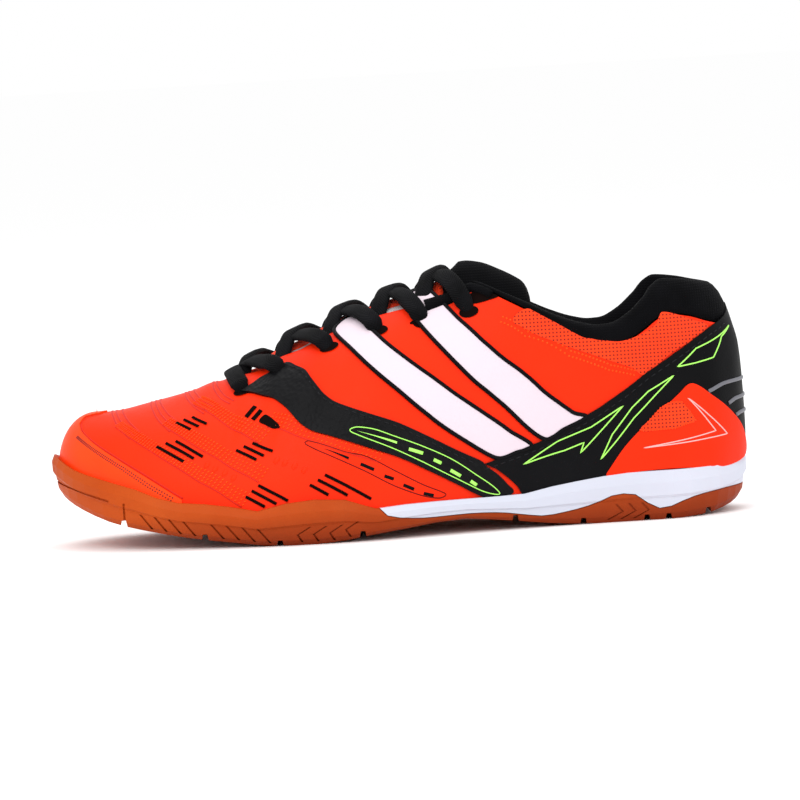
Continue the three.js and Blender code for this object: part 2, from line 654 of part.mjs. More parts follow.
// A shallow line round the toe, which ends at a slit over the first cut across the tread. Heights
// are shares of TOE_RIM.
const TOE_LINE = { from: -0.01, fromHeight: 0.73, to: 0.081, toHeight: 0.51 };
const TOE_SLIT_TOP = 0.5;
function toeCutters() {
  const { from, fromHeight, to, toHeight } = TOE_LINE;
  const front = [LENGTH * from, TOE_RIM * fromHeight];
  const back = [LENGTH * to, TOE_RIM * toHeight];
  const ledge = [front, back, [back[0], back[1] + RIB_CUT], [front[0], front[1] + RIB_CUT]];
  const x = LENGTH * GROOVES[0];
  const [foot, top] = [tread(x), TOE_RIM * TOE_SLIT_TOP];
  const slit = [[x, foot], [x + RIB_CUT, foot], [x + RIB_CUT, top], [x, top]];
  return [shallowCut(ledge), shallowCut(slit)];
}

// The whole sole before it is parted into rubber and foam.
const soleBlank = solidOf(stack(SIDE_STEPS.map((step) => soleRing(step)))).subtract(recess());
const FOAM_STEPS = 34;
const foamSteps = [...Array(FOAM_STEPS + 1).keys()].map((i) => i / FOAM_STEPS);
const [foamFront, foamBack] = [FOAM_LINE[0].along, FOAM_LINE[FOAM_LINE.length - 1].along];
const foamX = (share) => LENGTH * (foamFront + share * (foamBack - foamFront));
function aboveFoamLine(shift) {
  const line = foamSteps.map((share) => {
    const x = foamX(share);
    const slope = foamLine(x + 0.5) - foamLine(x - 0.5);
    const length = Math.hypot(1, slope);
    return [x - (slope / length) * shift, foamLine(x) + shift / length];
  });
  const lid = 2 * RIM_HEIGHT;
  const front = foamX(0) + shift;
  const edge = [[front, lid], [front, line[0][1]], ...line.slice(1), [foamX(1), lid]];
  return sidePrism(edge, -BALL_WIDTH, BALL_WIDTH);
}
const midsole = mainPiece(soleBlank.intersect(aboveFoamLine(GAP / 2)));
let outsole = soleBlank.subtract(aboveFoamLine(-GAP / 2));
[...grooveCutters(), ...ribCutters(), ...toeCutters()].forEach((cutter) => {
  outsole = outsole.subtract(cutter);
});
outsole = mainPiece(outsole);

// The upper, with its eyelet holes. An eyelet lies a set way down from the throat's edge.
function eyeletPlace(row, side) {
  const x = LENGTH * EYELETS[row].along;
  const y = ridgeMiddle(x) + side * (throatHalf(x) + EYELET_INSET * EYELETS[row].inset);
  return new THREE.Vector3(x, y, lastTop(x, y));
}
function faceNormal(x, y) {
  const step = 0.5;
  const dx = (lastTop(x + step, y) - lastTop(x - step, y)) / (2 * step);
  const dy = (lastTop(x, y + step) - lastTop(x, y - step)) / (2 * step);
  return new THREE.Vector3(-dx, -dy, 1).normalize();
}
function eyeletCutter(row, side) {
  const place = eyeletPlace(row, side);
  const normal = faceNormal(place.x, place.y);
  const cutter = new THREE.CylinderGeometry(0.5, 0.5, 4 * UPPER_WALL, 6);
  cutter.scale(EYELET_LENGTH, 1, EYELET_WIDTH);
  const frame = new THREE.Matrix4();
  const lengthwise = new THREE.Vector3(1, 0, 0).addScaledVector(normal, -normal.x).normalize();
  frame.makeBasis(lengthwise, normal, lengthwise.clone().cross(normal));
  cutter.applyMatrix4(frame);
  cutter.translate(place.x, place.y, place.z);
  return solidOf(cutter);
}
let upper = solidOf(wall(lastedSkin, 0, -UPPER_WALL));
EYELETS.forEach((_, row) => {
  [-1, 1].forEach((side) => {
    upper = upper.subtract(eyeletCutter(row, side));
  });
});

// An overlay: the part of a layer over the upper that lies inside an outline drawn in side view.
// It stops clear above the sole's rim.
const soleClearance = solidOf(stack(SIDE_STEPS.map((step) => soleRing(step, GAP))));
const layer = solidOf(wall(lastedSkin, GAP + OVERLAY_THICKNESS, GAP)).subtract(soleClearance);
function overlay(outline, side) {
  const scaled = outline.map(([along, height]) => [along * LENGTH, height * HEEL_HEIGHT]);
  const [from, to] = side < 0 ? [-BALL_WIDTH, 0] : side > 0 ? [0, BALL_WIDTH] : [-BALL_WIDTH, BALL_WIDTH];
  return mainPiece(layer.intersect(sidePrism(scaled, from, to)));
}

// Outlines of the overlays in side view, as shares of LENGTH and of HEEL_HEIGHT.
const SADDLE = [
  [0.664, 0.1], [0.775, 0.1], [0.79, 0.29], [0.845, 0.44], [0.885, 0.57], [0.935, 0.52],
  [0.965, 0.42], [0.982, 0.29], [0.984, 0.22], [1.02, 0.22], [1.02, 0.85], [0.94, 0.85],
  [0.88, 0.72], [0.8, 0.53], [0.72, 0.4], [0.66, 0.335], [0.628, 0.3], [0.65, 0.22],
];
const EYESTAY_PANEL = [
  [0.283, 0.6], [0.335, 0.74], [0.36, 0.72], [0.385, 0.655], [0.415, 0.585], [0.47, 0.5],
  [0.53, 0.4], [0.58, 0.325], [0.62, 0.29], [0.642, 0.21], [0.655, 0.1], [0.6, 0.1],
  [0.54, 0.2], [0.5, 0.28], [0.45, 0.36], [0.4, 0.44], [0.36, 0.5], [0.33, 0.575], [0.305, 0.6],
];
const TOE_CAP = [[-0.02, 0.2], [0.19, 0.15], [0.13, 0.33], [0.09, 0.46], [0.062, 0.575], [0.0, 0.66]];

// The way into the shoe from a point of the last, level with the floor.
function inward(along, level, side) {
  const step = 0.004;
  if (along >= 1) return new THREE.Vector3(-1, 0, 0);
  const before = lastPoint(along - step, level, side);
  const after = lastPoint(Math.min(1, along + step), level, side);
  const run = after.sub(before);
  return new THREE.Vector3(side * run.y, -side * run.x, 0).normalize();
}

// The padded collar: a cuff that closes the upper's top edge, and a lining inside it. inward: how
// far in a point of its section lies, as a share of the padding. up: 0 at the cuff's foot, 1 at the
// top edge, and -1 at the lining's hem. wall: 1 where the point lies inside the upper's wall too.
// proud: the share of COLLAR_PROUD by which it stands out. The padding swells from a share of its
// thickness at the collar's front to all of it, over COLLAR_SWELL of LENGTH.
const COLLAR_START = 0.655;
const COLLAR_THIN = 0.3;
const COLLAR_SWELL = 0.12;
const COLLAR_SECTION = [
  { up: 0.0, inward: 0.0, wall: 0, proud: 0 },
  { up: 0.5, inward: 0.0, wall: 0, proud: 1 },
  { up: 0.86, inward: 0.12, wall: 0, proud: 0.4 },
  { up: 1.0, inward: 0.5, wall: 0, proud: 0 },
  { up: 0.9, inward: 1.1, wall: 0, proud: 0 },
  { up: 0.45, inward: 1.1, wall: 1, proud: 0 },
  { up: -0.4, inward: 0.8, wall: 1, proud: 0 },
  { up: -1.0, inward: 0.2, wall: 1, proud: 0 },
  { up: -1.0, inward: 0.0, wall: 1, proud: 0 },
  { up: -0.02, inward: 0.0, wall: 1, proud: 0 },
];
const BEND_ROWS = [5, 9]; // the rows between which the cuff turns down into the lining
function collar() {
  const along = stations(UPPER_STATIONS).filter((s) => s >= COLLAR_START);
  const section = (s, side) => {
    const top = belowLine(s, collarTop);
    const foot = belowLine(s, (x) => collarTop(x) - cuffHeight(x) + COLLAR_SEAM / 2);
    const hem = belowLine(s, (x) => collarTop(x) - cuffHeight(x) - COLLAR_SKIRT);
    const swell = Math.min(1, COLLAR_THIN + (s - along[0]) / COLLAR_SWELL);
    return COLLAR_SECTION.map((row) => {
      const level = row.up < 0 ? foot + (foot - hem) * row.up : foot + (top - foot) * row.up;
      const depth = COLLAR_PADDING * swell * row.inward + (UPPER_WALL + LINING_CLEARANCE) * row.wall;
      const way = inward(s, level, side);
      return lastPoint(s, level, side).addScaledVector(way, depth - COLLAR_PROUD * swell * row.proud);
    });
  };
  const outer = along.map((s) => section(s, -1));
  const inner = along.slice(0, -1).reverse().map((s) => section(s, 1));
  const bend = (ring) => ring[BEND_ROWS[0]].clone().lerp(ring[BEND_ROWS[1]], 0.5);
  return sweep([...outer, ...inner], bend);
}

// A solid through closed sections of equal length, whose ends are fans round a hub.
const centreOf = (ring) => ring.reduce((sum, p) => sum.add(p), new THREE.Vector3()).divideScalar(ring.length);
function sweep(sections, hubOf = centreOf) {
  const count = sections[0].length;
  const points = sections.flat();
  const faces = [];
  for (let k = 0; k + 1 < sections.length; k++)
    for (let i = 0; i < count; i++) {
      const a = k * count + i;
      const b = k * count + ((i + 1) % count);
      faces.push([a, b + count, b], [a, a + count, b + count]);
    }
  [0, sections.length - 1].forEach((k) => {
    const hub = points.length;
    points.push(hubOf(sections[k]));
    for (let i = 0; i < count; i++) {
      const [a, b] = [k * count + i, k * count + ((i + 1) % count)];
      faces.push(k === 0 ? [hub, a, b] : [hub, b, a]);
    }
  });
  const geometry = geometryOf(points, faces);
  if (solidOf(geometry).volume() < 0) faces.forEach((face) => face.reverse());
  return geometryOf(points, faces);
}

// The insole lies on the footbed, inside the upper's wall. Its top edge is rounded off.
const HEEL_HALF = 0.33; // the heel's half width, as a share of BALL_WIDTH
const INSOLE_ROUND = 1.2;
function insole() {
  const inward = UPPER_WALL + 2 * GAP;
  const along = stations(28);
  const ring = (height, tuck) => {
    const place = (s, side) => {
      const front = toeFront(0) + inward + tuck;
      const back = heelBack(0) - inward - tuck;
      const x = front + s * (back - front);
      const full = soleHalf(s) - upperInset(s);
      const half = Math.max(0, full * (1 - (inward + tuck) / (BALL_WIDTH * HEEL_HALF)));
      return new THREE.Vector3(x, middle(s) + side * half, bed(x) + 2 * GAP + height);
    };
    const inner = along.slice(1, -1).reverse().map((s) => place(s, 1));
    return [...along.map((s) => place(s, -1)), ...inner];
  };
  return stack([ring(0, 0), ring(INSOLE_THICKNESS - INSOLE_ROUND, 0), ring(INSOLE_THICKNESS, INSOLE_ROUND)]);
}

// The tongue's upper face: the last's form lowered under the eyestays, swelling up in the throat.
const tongueCrest = curve(TONGUE, "along", "crest");
const tongueHalf = curve(TONGUE, "along", "half");
const tonguePad = curve(TONGUE, "along", "pad");
const STEEPEST = 0.42; // the least upward part of the last's normal that the tongue follows
const TONGUE_FREE = 0.6; // behind this share the tongue stands clear of the last's cone
const SWELL_START = 0.285; // the tongue swells up into the throat behind this share
const SWELL_RUN = 0.04;
const SWELL_SHORT = 1.2; // the swelling ends this far under the last's own face
function tongueHeight(x, y) {
  const held = Math.min(x, LENGTH * TONGUE_FREE);
  const under = (UPPER_WALL + TONGUE_CLEARANCE) / Math.max(STEEPEST, faceNormal(held, y).z);
  const away = (y - ridgeMiddle(held)) / (throatHalf(held) + 0.1);
  const open = Math.min(1, Math.max(0, (x / LENGTH - SWELL_START) / SWELL_RUN));
  const bulge = Math.pow(Math.cos((away * Math.PI) / 2), 2);
  const swell = away * away < 1 ? (under - SWELL_SHORT) * open * bulge : 0;
  return lastTop(held, y) - under + swell + INSTEP_HEIGHT * tongueCrest(x / LENGTH);
}
function tongue() {
  const surface = new Surface();
  const rows = 18;
  const columns = 8;
  const start = TONGUE[0].along;
  const grid = [...Array(rows + 1).keys()].map((i) => {
    const x = LENGTH * (start + ((TONGUE_END - start) * i) / rows);
    const half = BALL_WIDTH * tongueHalf(x / LENGTH);
    return [...Array(columns + 1).keys()].map((j) => {
      const y = ridgeMiddle(Math.min(x, LENGTH * TONGUE_FREE)) + half * ((2 * j) / columns - 1);
      return new THREE.Vector3(x, y, tongueHeight(x, y));
    });
  });
  surface.grid(grid);
  return wall(surface, 0, (p) => -(TONGUE_THICKNESS + TONGUE_PAD * tonguePad(p.x / LENGTH)));
}

// A strip of lace: an oval section carried along a path, flat to the face that it lies on.
function laceStrip(path, faces) {
  const sides = 6;
  const sections = path.map((p, i) => {
    const ahead = path[Math.min(i + 1, path.length - 1)].clone().sub(path[Math.max(i - 1, 0)]).normalize();
    const across = ahead.clone().cross(faces[i]).normalize();
    const up = across.clone().cross(ahead).normalize();
    return [...Array(sides).keys()].map((k) => {
      const angle = ((k + 0.5) / sides) * Math.PI * 2;
      return p
        .clone()
        .addScaledVector(across, (Math.cos(angle) * LACE_WIDTH) / 2)
        .addScaledVector(up, (Math.sin(angle) * LACE_THICKNESS) / 2);
    });
  });
  return solidOf(sweep(sections));
}

// Where the lace lies over a place in plan: its middle, clear of the upper and the tongue.
function laceBed(x, y, lift) {
  const normal = faceNormal(x, y);
  const base = Math.max(lastTop(x, y), tongueHeight(x, y));
  const place = new THREE.Vector3(x, y, base);
  const rise = LACE_THICKNESS / 2 + OVERLAY_THICKNESS + 2 * GAP + lift;
  return { place: place.addScaledVector(normal, rise), normal };
}

// A lace run from the throat's edge at one row, over the tongue, to the eyelet across it.
const LACE_TUCK = 0.35; // how far a run starts beyond the throat's edge, as a share of its width
function laceRun(fromRow, toRow, side, lift) {
  const steps = 6;
  const end = eyeletPlace(toRow, side);
  const startX = LENGTH * EYELETS[fromRow].along - LACE_WIDTH * LACE_TUCK;
  const startY = ridgeMiddle(startX) - side * (throatHalf(startX) + LACE_WIDTH * LACE_TUCK);
  const beds = [...Array(steps + 1).keys()].map((i) => {
    const t = i / steps;
    const rise = Math.sin(Math.PI * t) * lift;
    return laceBed(startX + (end.x - startX) * t, startY + (end.y - startY) * t, rise);
  });
  return laceStrip(beds.map((bed) => bed.place), beds.map((bed) => bed.normal));
}

// The whole lace: a bar across the lowest row, then a crossing between each two rows.
const BAR_BOW = 3; // how far the bar bows towards the toe
const LIFTS = { under: 0.3, over: 0.9 }; // a crossing's two runs, raised by shares of their thickness
function lace() {
  const steps = 6;
  const [a, b] = [eyeletPlace(0, -1), eyeletPlace(0, 1)];
  const beds = [...Array(steps + 1).keys()].map((i) => {
    const t = i / steps;
    const p = a.clone().lerp(b, t);
    return laceBed(p.x - BAR_BOW * Math.sin(Math.PI * t), p.y, 0);
  });
  let whole = laceStrip(beds.map((bed) => bed.place), beds.map((bed) => bed.normal));
  for (let row = 0; row + 1 < EYELETS.length; row++) {
    whole = whole.add(laceRun(row, row + 1, -1, LACE_THICKNESS * LIFTS.under));
    whole = whole.add(laceRun(row, row + 1, 1, LACE_THICKNESS * LIFTS.over));
  }
  return whole;
}

// Colours of the real materials.
const finish = (color, roughness) => new THREE.MeshStandardMaterial({ color, roughness, metalness: 0 });
const gum = finish(0xc8501a, 0.55);
const foam = finish(0xe8e9f0, 0.6);
const orange = finish(0xff3a0c, 0.45);
const black = finish(0x0c0c0e, 0.5);
const blackKnit = finish(0x0a0a0b, 0.9);
const orangeKnit = finish(0xff5a20, 0.8);

const shoe = new THREE.Group();
function addPiece(name, shape, material) {
  const geometry = shape.isBufferGeometry ? shape : geometryFrom(shape);
  const mesh = new THREE.Mesh(geometry, material);
  mesh.name = name;
  shoe.add(mesh);
}

addPiece("outsole", outsole, gum);
addPiece("midsole", midsole, foam);
addPiece("upper", upper, orange);
addPiece("toe_cap", overlay(TOE_CAP, 0), orange);
addPiece("heel_saddle", overlay(SADDLE, 0), black);
addPiece("eyestay_panel_outer", overlay(EYESTAY_PANEL, -1), black);
addPiece("eyestay_panel_inner", overlay(EYESTAY_PANEL, 1), black);
addPiece("collar", collar(), blackKnit);
addPiece("insole", insole(), blackKnit);
addPiece("tongue", tongue(), orangeKnit);
addPiece("lace", lace(), blackKnit);

// The origin lies on the floor, under the middle of the shoe's box.
const box = new THREE.Box3().setFromObject(shoe);
shoe.position.set(-(box.min.x + box.max.x) / 2, -(box.min.y + box.max.y) / 2, 0);

export default shoe;
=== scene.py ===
"""The looks of a left indoor court shoe, laid out as a Blender add-on."""
import math

import bmesh
import bpy
from mathutils import Matrix, Vector
from mathutils.geometry import delaunay_2d_cdt


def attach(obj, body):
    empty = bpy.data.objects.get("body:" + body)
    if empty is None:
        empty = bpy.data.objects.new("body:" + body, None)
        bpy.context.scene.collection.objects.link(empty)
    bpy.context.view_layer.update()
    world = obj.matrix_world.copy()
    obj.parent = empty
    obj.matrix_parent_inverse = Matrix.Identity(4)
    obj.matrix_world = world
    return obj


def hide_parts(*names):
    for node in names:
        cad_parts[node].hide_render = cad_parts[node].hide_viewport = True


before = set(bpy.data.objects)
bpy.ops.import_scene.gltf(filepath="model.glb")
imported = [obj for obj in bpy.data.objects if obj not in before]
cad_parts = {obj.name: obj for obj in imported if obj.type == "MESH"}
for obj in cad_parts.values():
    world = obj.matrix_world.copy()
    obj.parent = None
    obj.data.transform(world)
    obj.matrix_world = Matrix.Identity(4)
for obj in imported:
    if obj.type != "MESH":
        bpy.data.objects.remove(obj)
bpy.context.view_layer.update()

bl_info = {
    "name": "Indoor court shoe",
    "version": (1, 0, 0),
    "blender": (4, 5, 0),
    "location": "View3D > Sidebar > Shoe",
    "description": "Builds the looks of a laced indoor court shoe over its solids",
    "category": "Object",
}

MM = 0.001

# The last, in millimetres from the toe, as the solids have it
LENGTH = 285
BALL_WIDTH = 103
HEEL_HEIGHT = 97
INSTEP_HEIGHT = 106
TOE_HEIGHT = 54.5
SOLE_STACK = 14.5
TOE_RIM = 39
GAP = 0.3
UPPER_WALL = 1.8
FRAME_SHIFT = (-142.677, -0.139)

PLAN = (
    # along, middle, half, inset
    (0.0, 0.078, 0.0, 0.0),
    (0.03, 0.073, 0.205, 0.022),
    (0.08, 0.061, 0.322, 0.03),
    (0.15, 0.046, 0.41, 0.034),
    (0.25, 0.027, 0.474, 0.035),
    (0.33, 0.008, 0.499, 0.035),
    (0.4, -0.012, 0.494, 0.035),
    (0.5, -0.026, 0.446, 0.034),
    (0.6, -0.02, 0.388, 0.033),
    (0.7, -0.006, 0.35, 0.032),
    (0.8, 0.008, 0.341, 0.031),
    (0.88, 0.008, 0.338, 0.031),
    (0.94, 0.008, 0.272, 0.026),
    (0.98, 0.008, 0.163, 0.018),
    (1.0, 0.008, 0.0, 0.0),
)
BED = (
    # along, share of the sole's stack, share of the toe's rim
    (0.0, 0.0, 0.77),
    (0.035, 0.0, 0.67),
    (0.07, 0.0, 0.55),
    (0.13, 0.0, 0.4),
    (0.17, 0.0, 0.33),
    (0.2, 0.0, 0.29),
    (0.235, 0.25, 0.16),
    (0.27, 0.55, 0.0),
    (0.3, 0.54, 0.0),
    (0.335, 0.53, 0.0),
    (0.38, 0.53, 0.0),
    (0.42, 0.55, 0.0),
    (0.45, 0.58, 0.0),
    (0.47, 0.61, 0.0),
    (0.56, 0.74, 0.0),
    (0.66, 0.87, 0.0),
    (0.72, 0.93, 0.0),
    (0.84, 1.0, 0.0),
    (0.965, 1.02, 0.0),
    (0.985, 1.03, 0.0),
    (1.0, 1.03, 0.0),
)
LAST = (
    # along, crown, instep, full, lean
    (0.0, 0.99, 0.0, 2.35, 0.0),
    (0.07, 0.995, 0.0, 2.3, 0.0),
    (0.1, 1.005, 0.0, 2.2, 0.004),
    (0.145, 1.05, 0.0, 2.1, 0.01),
    (0.21, 1.125, 0.0, 2.0, 0.02),
    (0.245, 1.18, 0.0, 1.95, 0.03),
    (0.28, 0.62, 0.32, 1.92, 0.036),
    (0.32, 0.0, 0.69, 1.9, 0.042),
    (0.37, 0.0, 0.75, 1.95, 0.048),
    (0.4, 0.0, 0.79, 2.0, 0.05),
    (0.48, 0.0, 0.868, 2.1, 0.048),
    (0.545, 0.0, 0.92, 2.15, 0.042),
    (0.59, 0.0, 0.975, 2.18, 0.036),
    (0.62, 0.0, 1.05, 2.18, 0.03),
    (0.655, 0.0, 1.17, 2.18, 0.024),
    (0.69, 0.0, 1.27, 2.2, 0.018),
    (0.73, 0.0, 1.33, 2.2, 0.01),
    (0.8, 0.0, 1.35, 2.25, 0.004),
    (0.88, 0.0, 1.34, 2.25, 0.0),
    (1.0, 0.0, 1.32, 2.2, 0.0),
)
TOE_POWER = 2.3
TOE_FRONT_INSET = 0.0115
TOE_FRONT_DEPTH = 0.058
HEEL_BACK = (
    # level, inset
    (0.0, 0.009),
    (0.08, 0.004),
    (0.16, 0.003),
    (0.32, 0.0045),
    (0.42, 0.0075),
    (0.5, 0.016),
    (0.58, 0.027),
    (0.65, 0.04),
    (1.0, 0.11),
)
THROAT_START = 0.272
THROAT_END = 0.68
THROAT = (
    # along, half
    (THROAT_START, 0.0),
    (0.276, 0.045),
    (0.286, 0.082),
    (0.305, 0.105),
    (0.36, 0.122),
    (0.46, 0.132),
    (0.56, 0.145),
    (0.6, 0.156),
    (0.63, 0.178),
    (0.68, 0.19),
)
CUFF_HEIGHT = 16
COLLAR_SEAM = 0.8
COLLAR_LINE_START = 0.6
COLLAR = (
    # along, top, cuff
    (0.6, 1.045, 0.1),
    (0.625, 1.03, 0.12),
    (0.65, 0.995, 0.15),
    (0.685, 0.945, 0.19),
    (0.735, 0.872, 0.28),
    (0.765, 0.84, 0.4),
    (0.79, 0.826, 0.47),
    (0.805, 0.828, 0.52),
    (0.83, 0.862, 0.65),
    (0.855, 0.925, 0.78),
    (0.875, 0.98, 0.86),
    (0.89, 1.0, 0.88),
    (0.92, 0.992, 0.92),
    (0.95, 0.975, 1.0),
    (1.0, 0.955, 1.1),
)
EYELETS = (
    # along, inset
    (0.281, 1.85),
    (0.338, 1.35),
    (0.407, 1.15),
    (0.478, 1.05),
    (0.542, 1.0),
    (0.608, 0.9),
)
EYELET_INSET = 7.5
LINING_CLEARANCE = 1.5
TONGUE_CLEARANCE = 1.8


def curve(rows, key=0, column=1):
    """A column of a table as a smooth curve that never overshoots its rows."""
    xs = [row[key] for row in rows]
    ys = [row[column] for row in rows]
    last = len(xs) - 1
    steps = [xs[i + 1] - xs[i] for i in range(last)]
    slopes = [(ys[i + 1] - ys[i]) / steps[i] for i in range(last)]
    tangents = [slopes[0]]
    for i in range(1, last):
        if slopes[i - 1] * slopes[i] <= 0:
            tangents.append(0.0)
        else:
            before = 2 * steps[i] + steps[i - 1]
            after = steps[i] + 2 * steps[i - 1]
            tangents.append((before + after) / (before / slopes[i - 1] + after / slopes[i]))
    tangents.append(slopes[-1])

    def read(x):
        if x <= xs[0]:
            return ys[0]
        if x >= xs[last]:
            return ys[last]
        i = 0
        while x > xs[i + 1]:
            i += 1
        t = (x - xs[i]) / steps[i]
        rise = t * t * (3 - 2 * t)
        lead = t * (1 - t) * (1 - t) * steps[i] * tangents[i]
        trail = t * t * (1 - t) * steps[i] * tangents[i + 1]
        return ys[i] + (ys[i + 1] - ys[i]) * rise + lead - trail

    return read


def turn(along):
    return math.acos(1 - 2 * min(1, max(0, along)))


PLAN_TURNS = [(turn(row[0]),) + row[1:] for row in PLAN]


def plan_curve(column):
    read = curve(PLAN_TURNS, 0, column)
    return lambda along: BALL_WIDTH * read(turn(along))


middle = plan_curve(1)
sole_half = plan_curve(2)
upper_inset = plan_curve(3)
bed_share = curve(BED, 0, 1)
toe_bed_share = curve(BED, 0, 2)
crown = curve(LAST, 0, 1)
instep = curve(LAST, 0, 2)
fullness = curve(LAST, 0, 3)
lean = curve(LAST, 0, 4)
heel_inset = curve(HEEL_BACK)
throat_share = curve(THROAT)
collar_share = curve(COLLAR, 0, 1)
cuff_share = curve(COLLAR, 0, 2)


def bed(x):
    return SOLE_STACK * bed_share(x / LENGTH) + TOE_RIM * toe_bed_share(x / LENGTH)


def foot(x):
    return bed(x) + GAP


def ridge(x):
    return TOE_HEIGHT * crown(x / LENGTH) + INSTEP_HEIGHT * instep(x / LENGTH)


def quarter(level, power):
    return max(0.0, 1 - level ** power) ** (1 / power)


def toe_front(level):
    return LENGTH * (TOE_FRONT_INSET + TOE_FRONT_DEPTH * (1 - quarter(level, TOE_POWER)))


def heel_back(level):
    return LENGTH * (1 - heel_inset(level))


def half_at(along, level):
    return (sole_half(along) - upper_inset(along)) * quarter(level, fullness(along))


def last_point(along, level, side):
    front = toe_front(level)
    x = front + along * (heel_back(level) - front)
    low = foot(x)
    centre = middle(along) + BALL_WIDTH * lean(along) * level
    return Vector((x, centre + side * half_at(along, level), low + level * (ridge(x) - low)))


def throat_half(x):
    if not THROAT_START < x / LENGTH <= THROAT_END:
        return 0.0
    return BALL_WIDTH * throat_share(x / LENGTH)


def collar_top(x):
    return HEEL_HEIGHT * collar_share(x / LENGTH)


def cuff_height(x):
    return CUFF_HEIGHT * cuff_share(x / LENGTH)


def ridge_middle(x):
    return middle(x / LENGTH) + BALL_WIDTH * lean(x / LENGTH)


def level_where(holds):
    """The highest level up to which a test holds, found by halving."""
    if holds(1.0):
        return 1.0
    low, high = 0.0, 1.0
    for _ in range(26):
        trial = (low + high) / 2
        if holds(trial):
            low = trial
        else:
            high = trial
    return low


def below_line(along, line):
    def holds(level):
        p = last_point(along, level, 1)
        return p.x / LENGTH < COLLAR_LINE_START or p.z <= line(p.x)

    return level_where(holds)


def throat_level(along):
    return level_where(lambda level: half_at(along, level) >= throat_half(last_point(along, level, 1).x))


def upper_edge(along):
    return min(
        throat_level(along),
        below_line(along, lambda x: collar_top(x) - cuff_height(x) - COLLAR_SEAM / 2),
    )


# The unfolded upper: u runs from the toe (0) to the heel (1) along the outer side, and on round
# the heel above 1 or round the toe below 0 to the inner side. v is 0 at the foot and 1 on the ridge.
# (U_SPAN * u, V_SPAN * v) are about millimetres on the leather.
U_SPAN = 440.0
V_SPAN = 110.0

# Soft folds where the foot bends: centre x, z, half length, half width, turn in degrees, depth.
CREASES = (
    (93, 52, 17, 3.2, 62, 0.9),
    (84, 47, 15, 2.8, 66, 0.7),
    (103, 49, 15, 3.0, 58, 0.65),
    (74, 45, 13, 2.6, 70, 0.5),
    (66, 42, 10, 2.4, 72, 0.35),
    (192, 62, 17, 4.0, 36, 0.7),
    (203, 55, 14, 3.4, 28, 0.5),
    (120, 60, 14, 3.5, 45, 0.5),
)


def crease_depth(x, z):
    total = 0.0
    for cx, cz, length, width, angle, depth in CREASES:
        a = math.radians(angle)
        dx, dz = x - cx, z - cz
        run = (dx * math.cos(a) + dz * math.sin(a)) / length
        off = (-dx * math.sin(a) + dz * math.cos(a)) / width
        if abs(run) < 2 and abs(off) < 3.4:
            fade = math.exp(-run * run * 1.4)
            total += depth * fade * (0.45 * math.exp(-((off - 1.5) ** 2)) - math.exp(-off * off))
    return total


def skin_point(u, v):
    along = (1 - math.cos(math.pi * u)) / 2
    level = math.sin(math.pi / 2 * min(1.0, max(0.0, v)))
    side = -1 if 0 <= u <= 1 else 1
    return last_point(along, level, side)


def skin_normal(u, v):
    du, dv = 0.002, 0.004
    across = skin_point(u + du, v) - skin_point(u - du, v)
    up = skin_point(u, min(1.0, v + dv)) - skin_point(u, max(0.0, v - dv))
    normal = across.cross(up)
    if normal.length < 1e-9:
        return Vector((0, 0, 1))
    normal.normalize()
    return normal


def on_skin(a, lift=0.0):
    """A point of the finished leather, from unfolded millimetres."""
    u, v = a[0] / U_SPAN, a[1] / V_SPAN
    p = skin_point(u, v)
    return p + skin_normal(u, v) * (lift + crease_depth(p.x, p.z))


def unfold(x, z):
    """The unfolded place of a point seen from the outer side, at x and z."""
    low = foot(x)
    level = min(0.99999, max(0.0, (z - low) / (ridge(x) - low)))
    front = toe_front(level)
    along = min(1.0, max(0.0, (x - front) / (heel_back(level) - front)))
    return (U_SPAN * math.acos(1 - 2 * along) / math.pi, V_SPAN * math.asin(level) * 2 / math.pi)


def on_side(side, points):
    """An outline of the outer side, or the same on the inner side where side is -1."""
    return [(side * a, b) for a, b in points]


# The camera of the photograph, and pixels taken back to the leather
CAMERA_UP = math.radians(4.0)
CAMERA_YAW = math.radians(2.0)
CAMERA_ROLL = math.radians(3.3)
CAMERA_DISTANCE = 2000.0
CAMERA_TARGET = Vector((1.4, 0.0, 52.5))
FRAME_PIXELS = 800
PIXEL = 0.41
SENSOR = 36.0

LOOK = Vector((
    math.sin(CAMERA_YAW) * math.cos(CAMERA_UP),
    math.cos(CAMERA_YAW) * math.cos(CAMERA_UP),
    -math.sin(CAMERA_UP),
))
_RIGHT = LOOK.cross(Vector((0, 0, 1))).normalized()
_UP = _RIGHT.cross(LOOK)
RIGHT = math.cos(CAMERA_ROLL) * _RIGHT - math.sin(CAMERA_ROLL) * _UP
UP = math.sin(CAMERA_ROLL) * _RIGHT + math.cos(CAMERA_ROLL) * _UP
EYE = CAMERA_TARGET - LOOK * CAMERA_DISTANCE


def seen(px, py):
    """The unfolded place on the outer side that a pixel of the photograph shows."""
    half = FRAME_PIXELS / 2
    ray = LOOK * CAMERA_DISTANCE + RIGHT * ((px - half) * PIXEL) - UP * ((py - half) * PIXEL)
    y = -38.0
    place = (0.0, 0.0)
    for _ in range(14):
        p = EYE + ray * ((y - EYE.y) / ray.y)
        place = unfold(p.x - FRAME_SHIFT[0], p.z)
        wanted = skin_point(place[0] / U_SPAN, place[1] / V_SPAN).y + FRAME_SHIFT[1]
        y += 0.6 * (wanted - y)
    return place


def traced(pixels):
    return [seen(px, py) for px, py in pixels]


# Mesh helpers
def to_frame(p):
    return Vector(((p.x + FRAME_SHIFT[0]) * MM, (p.y + FRAME_SHIFT[1]) * MM, p.z * MM))


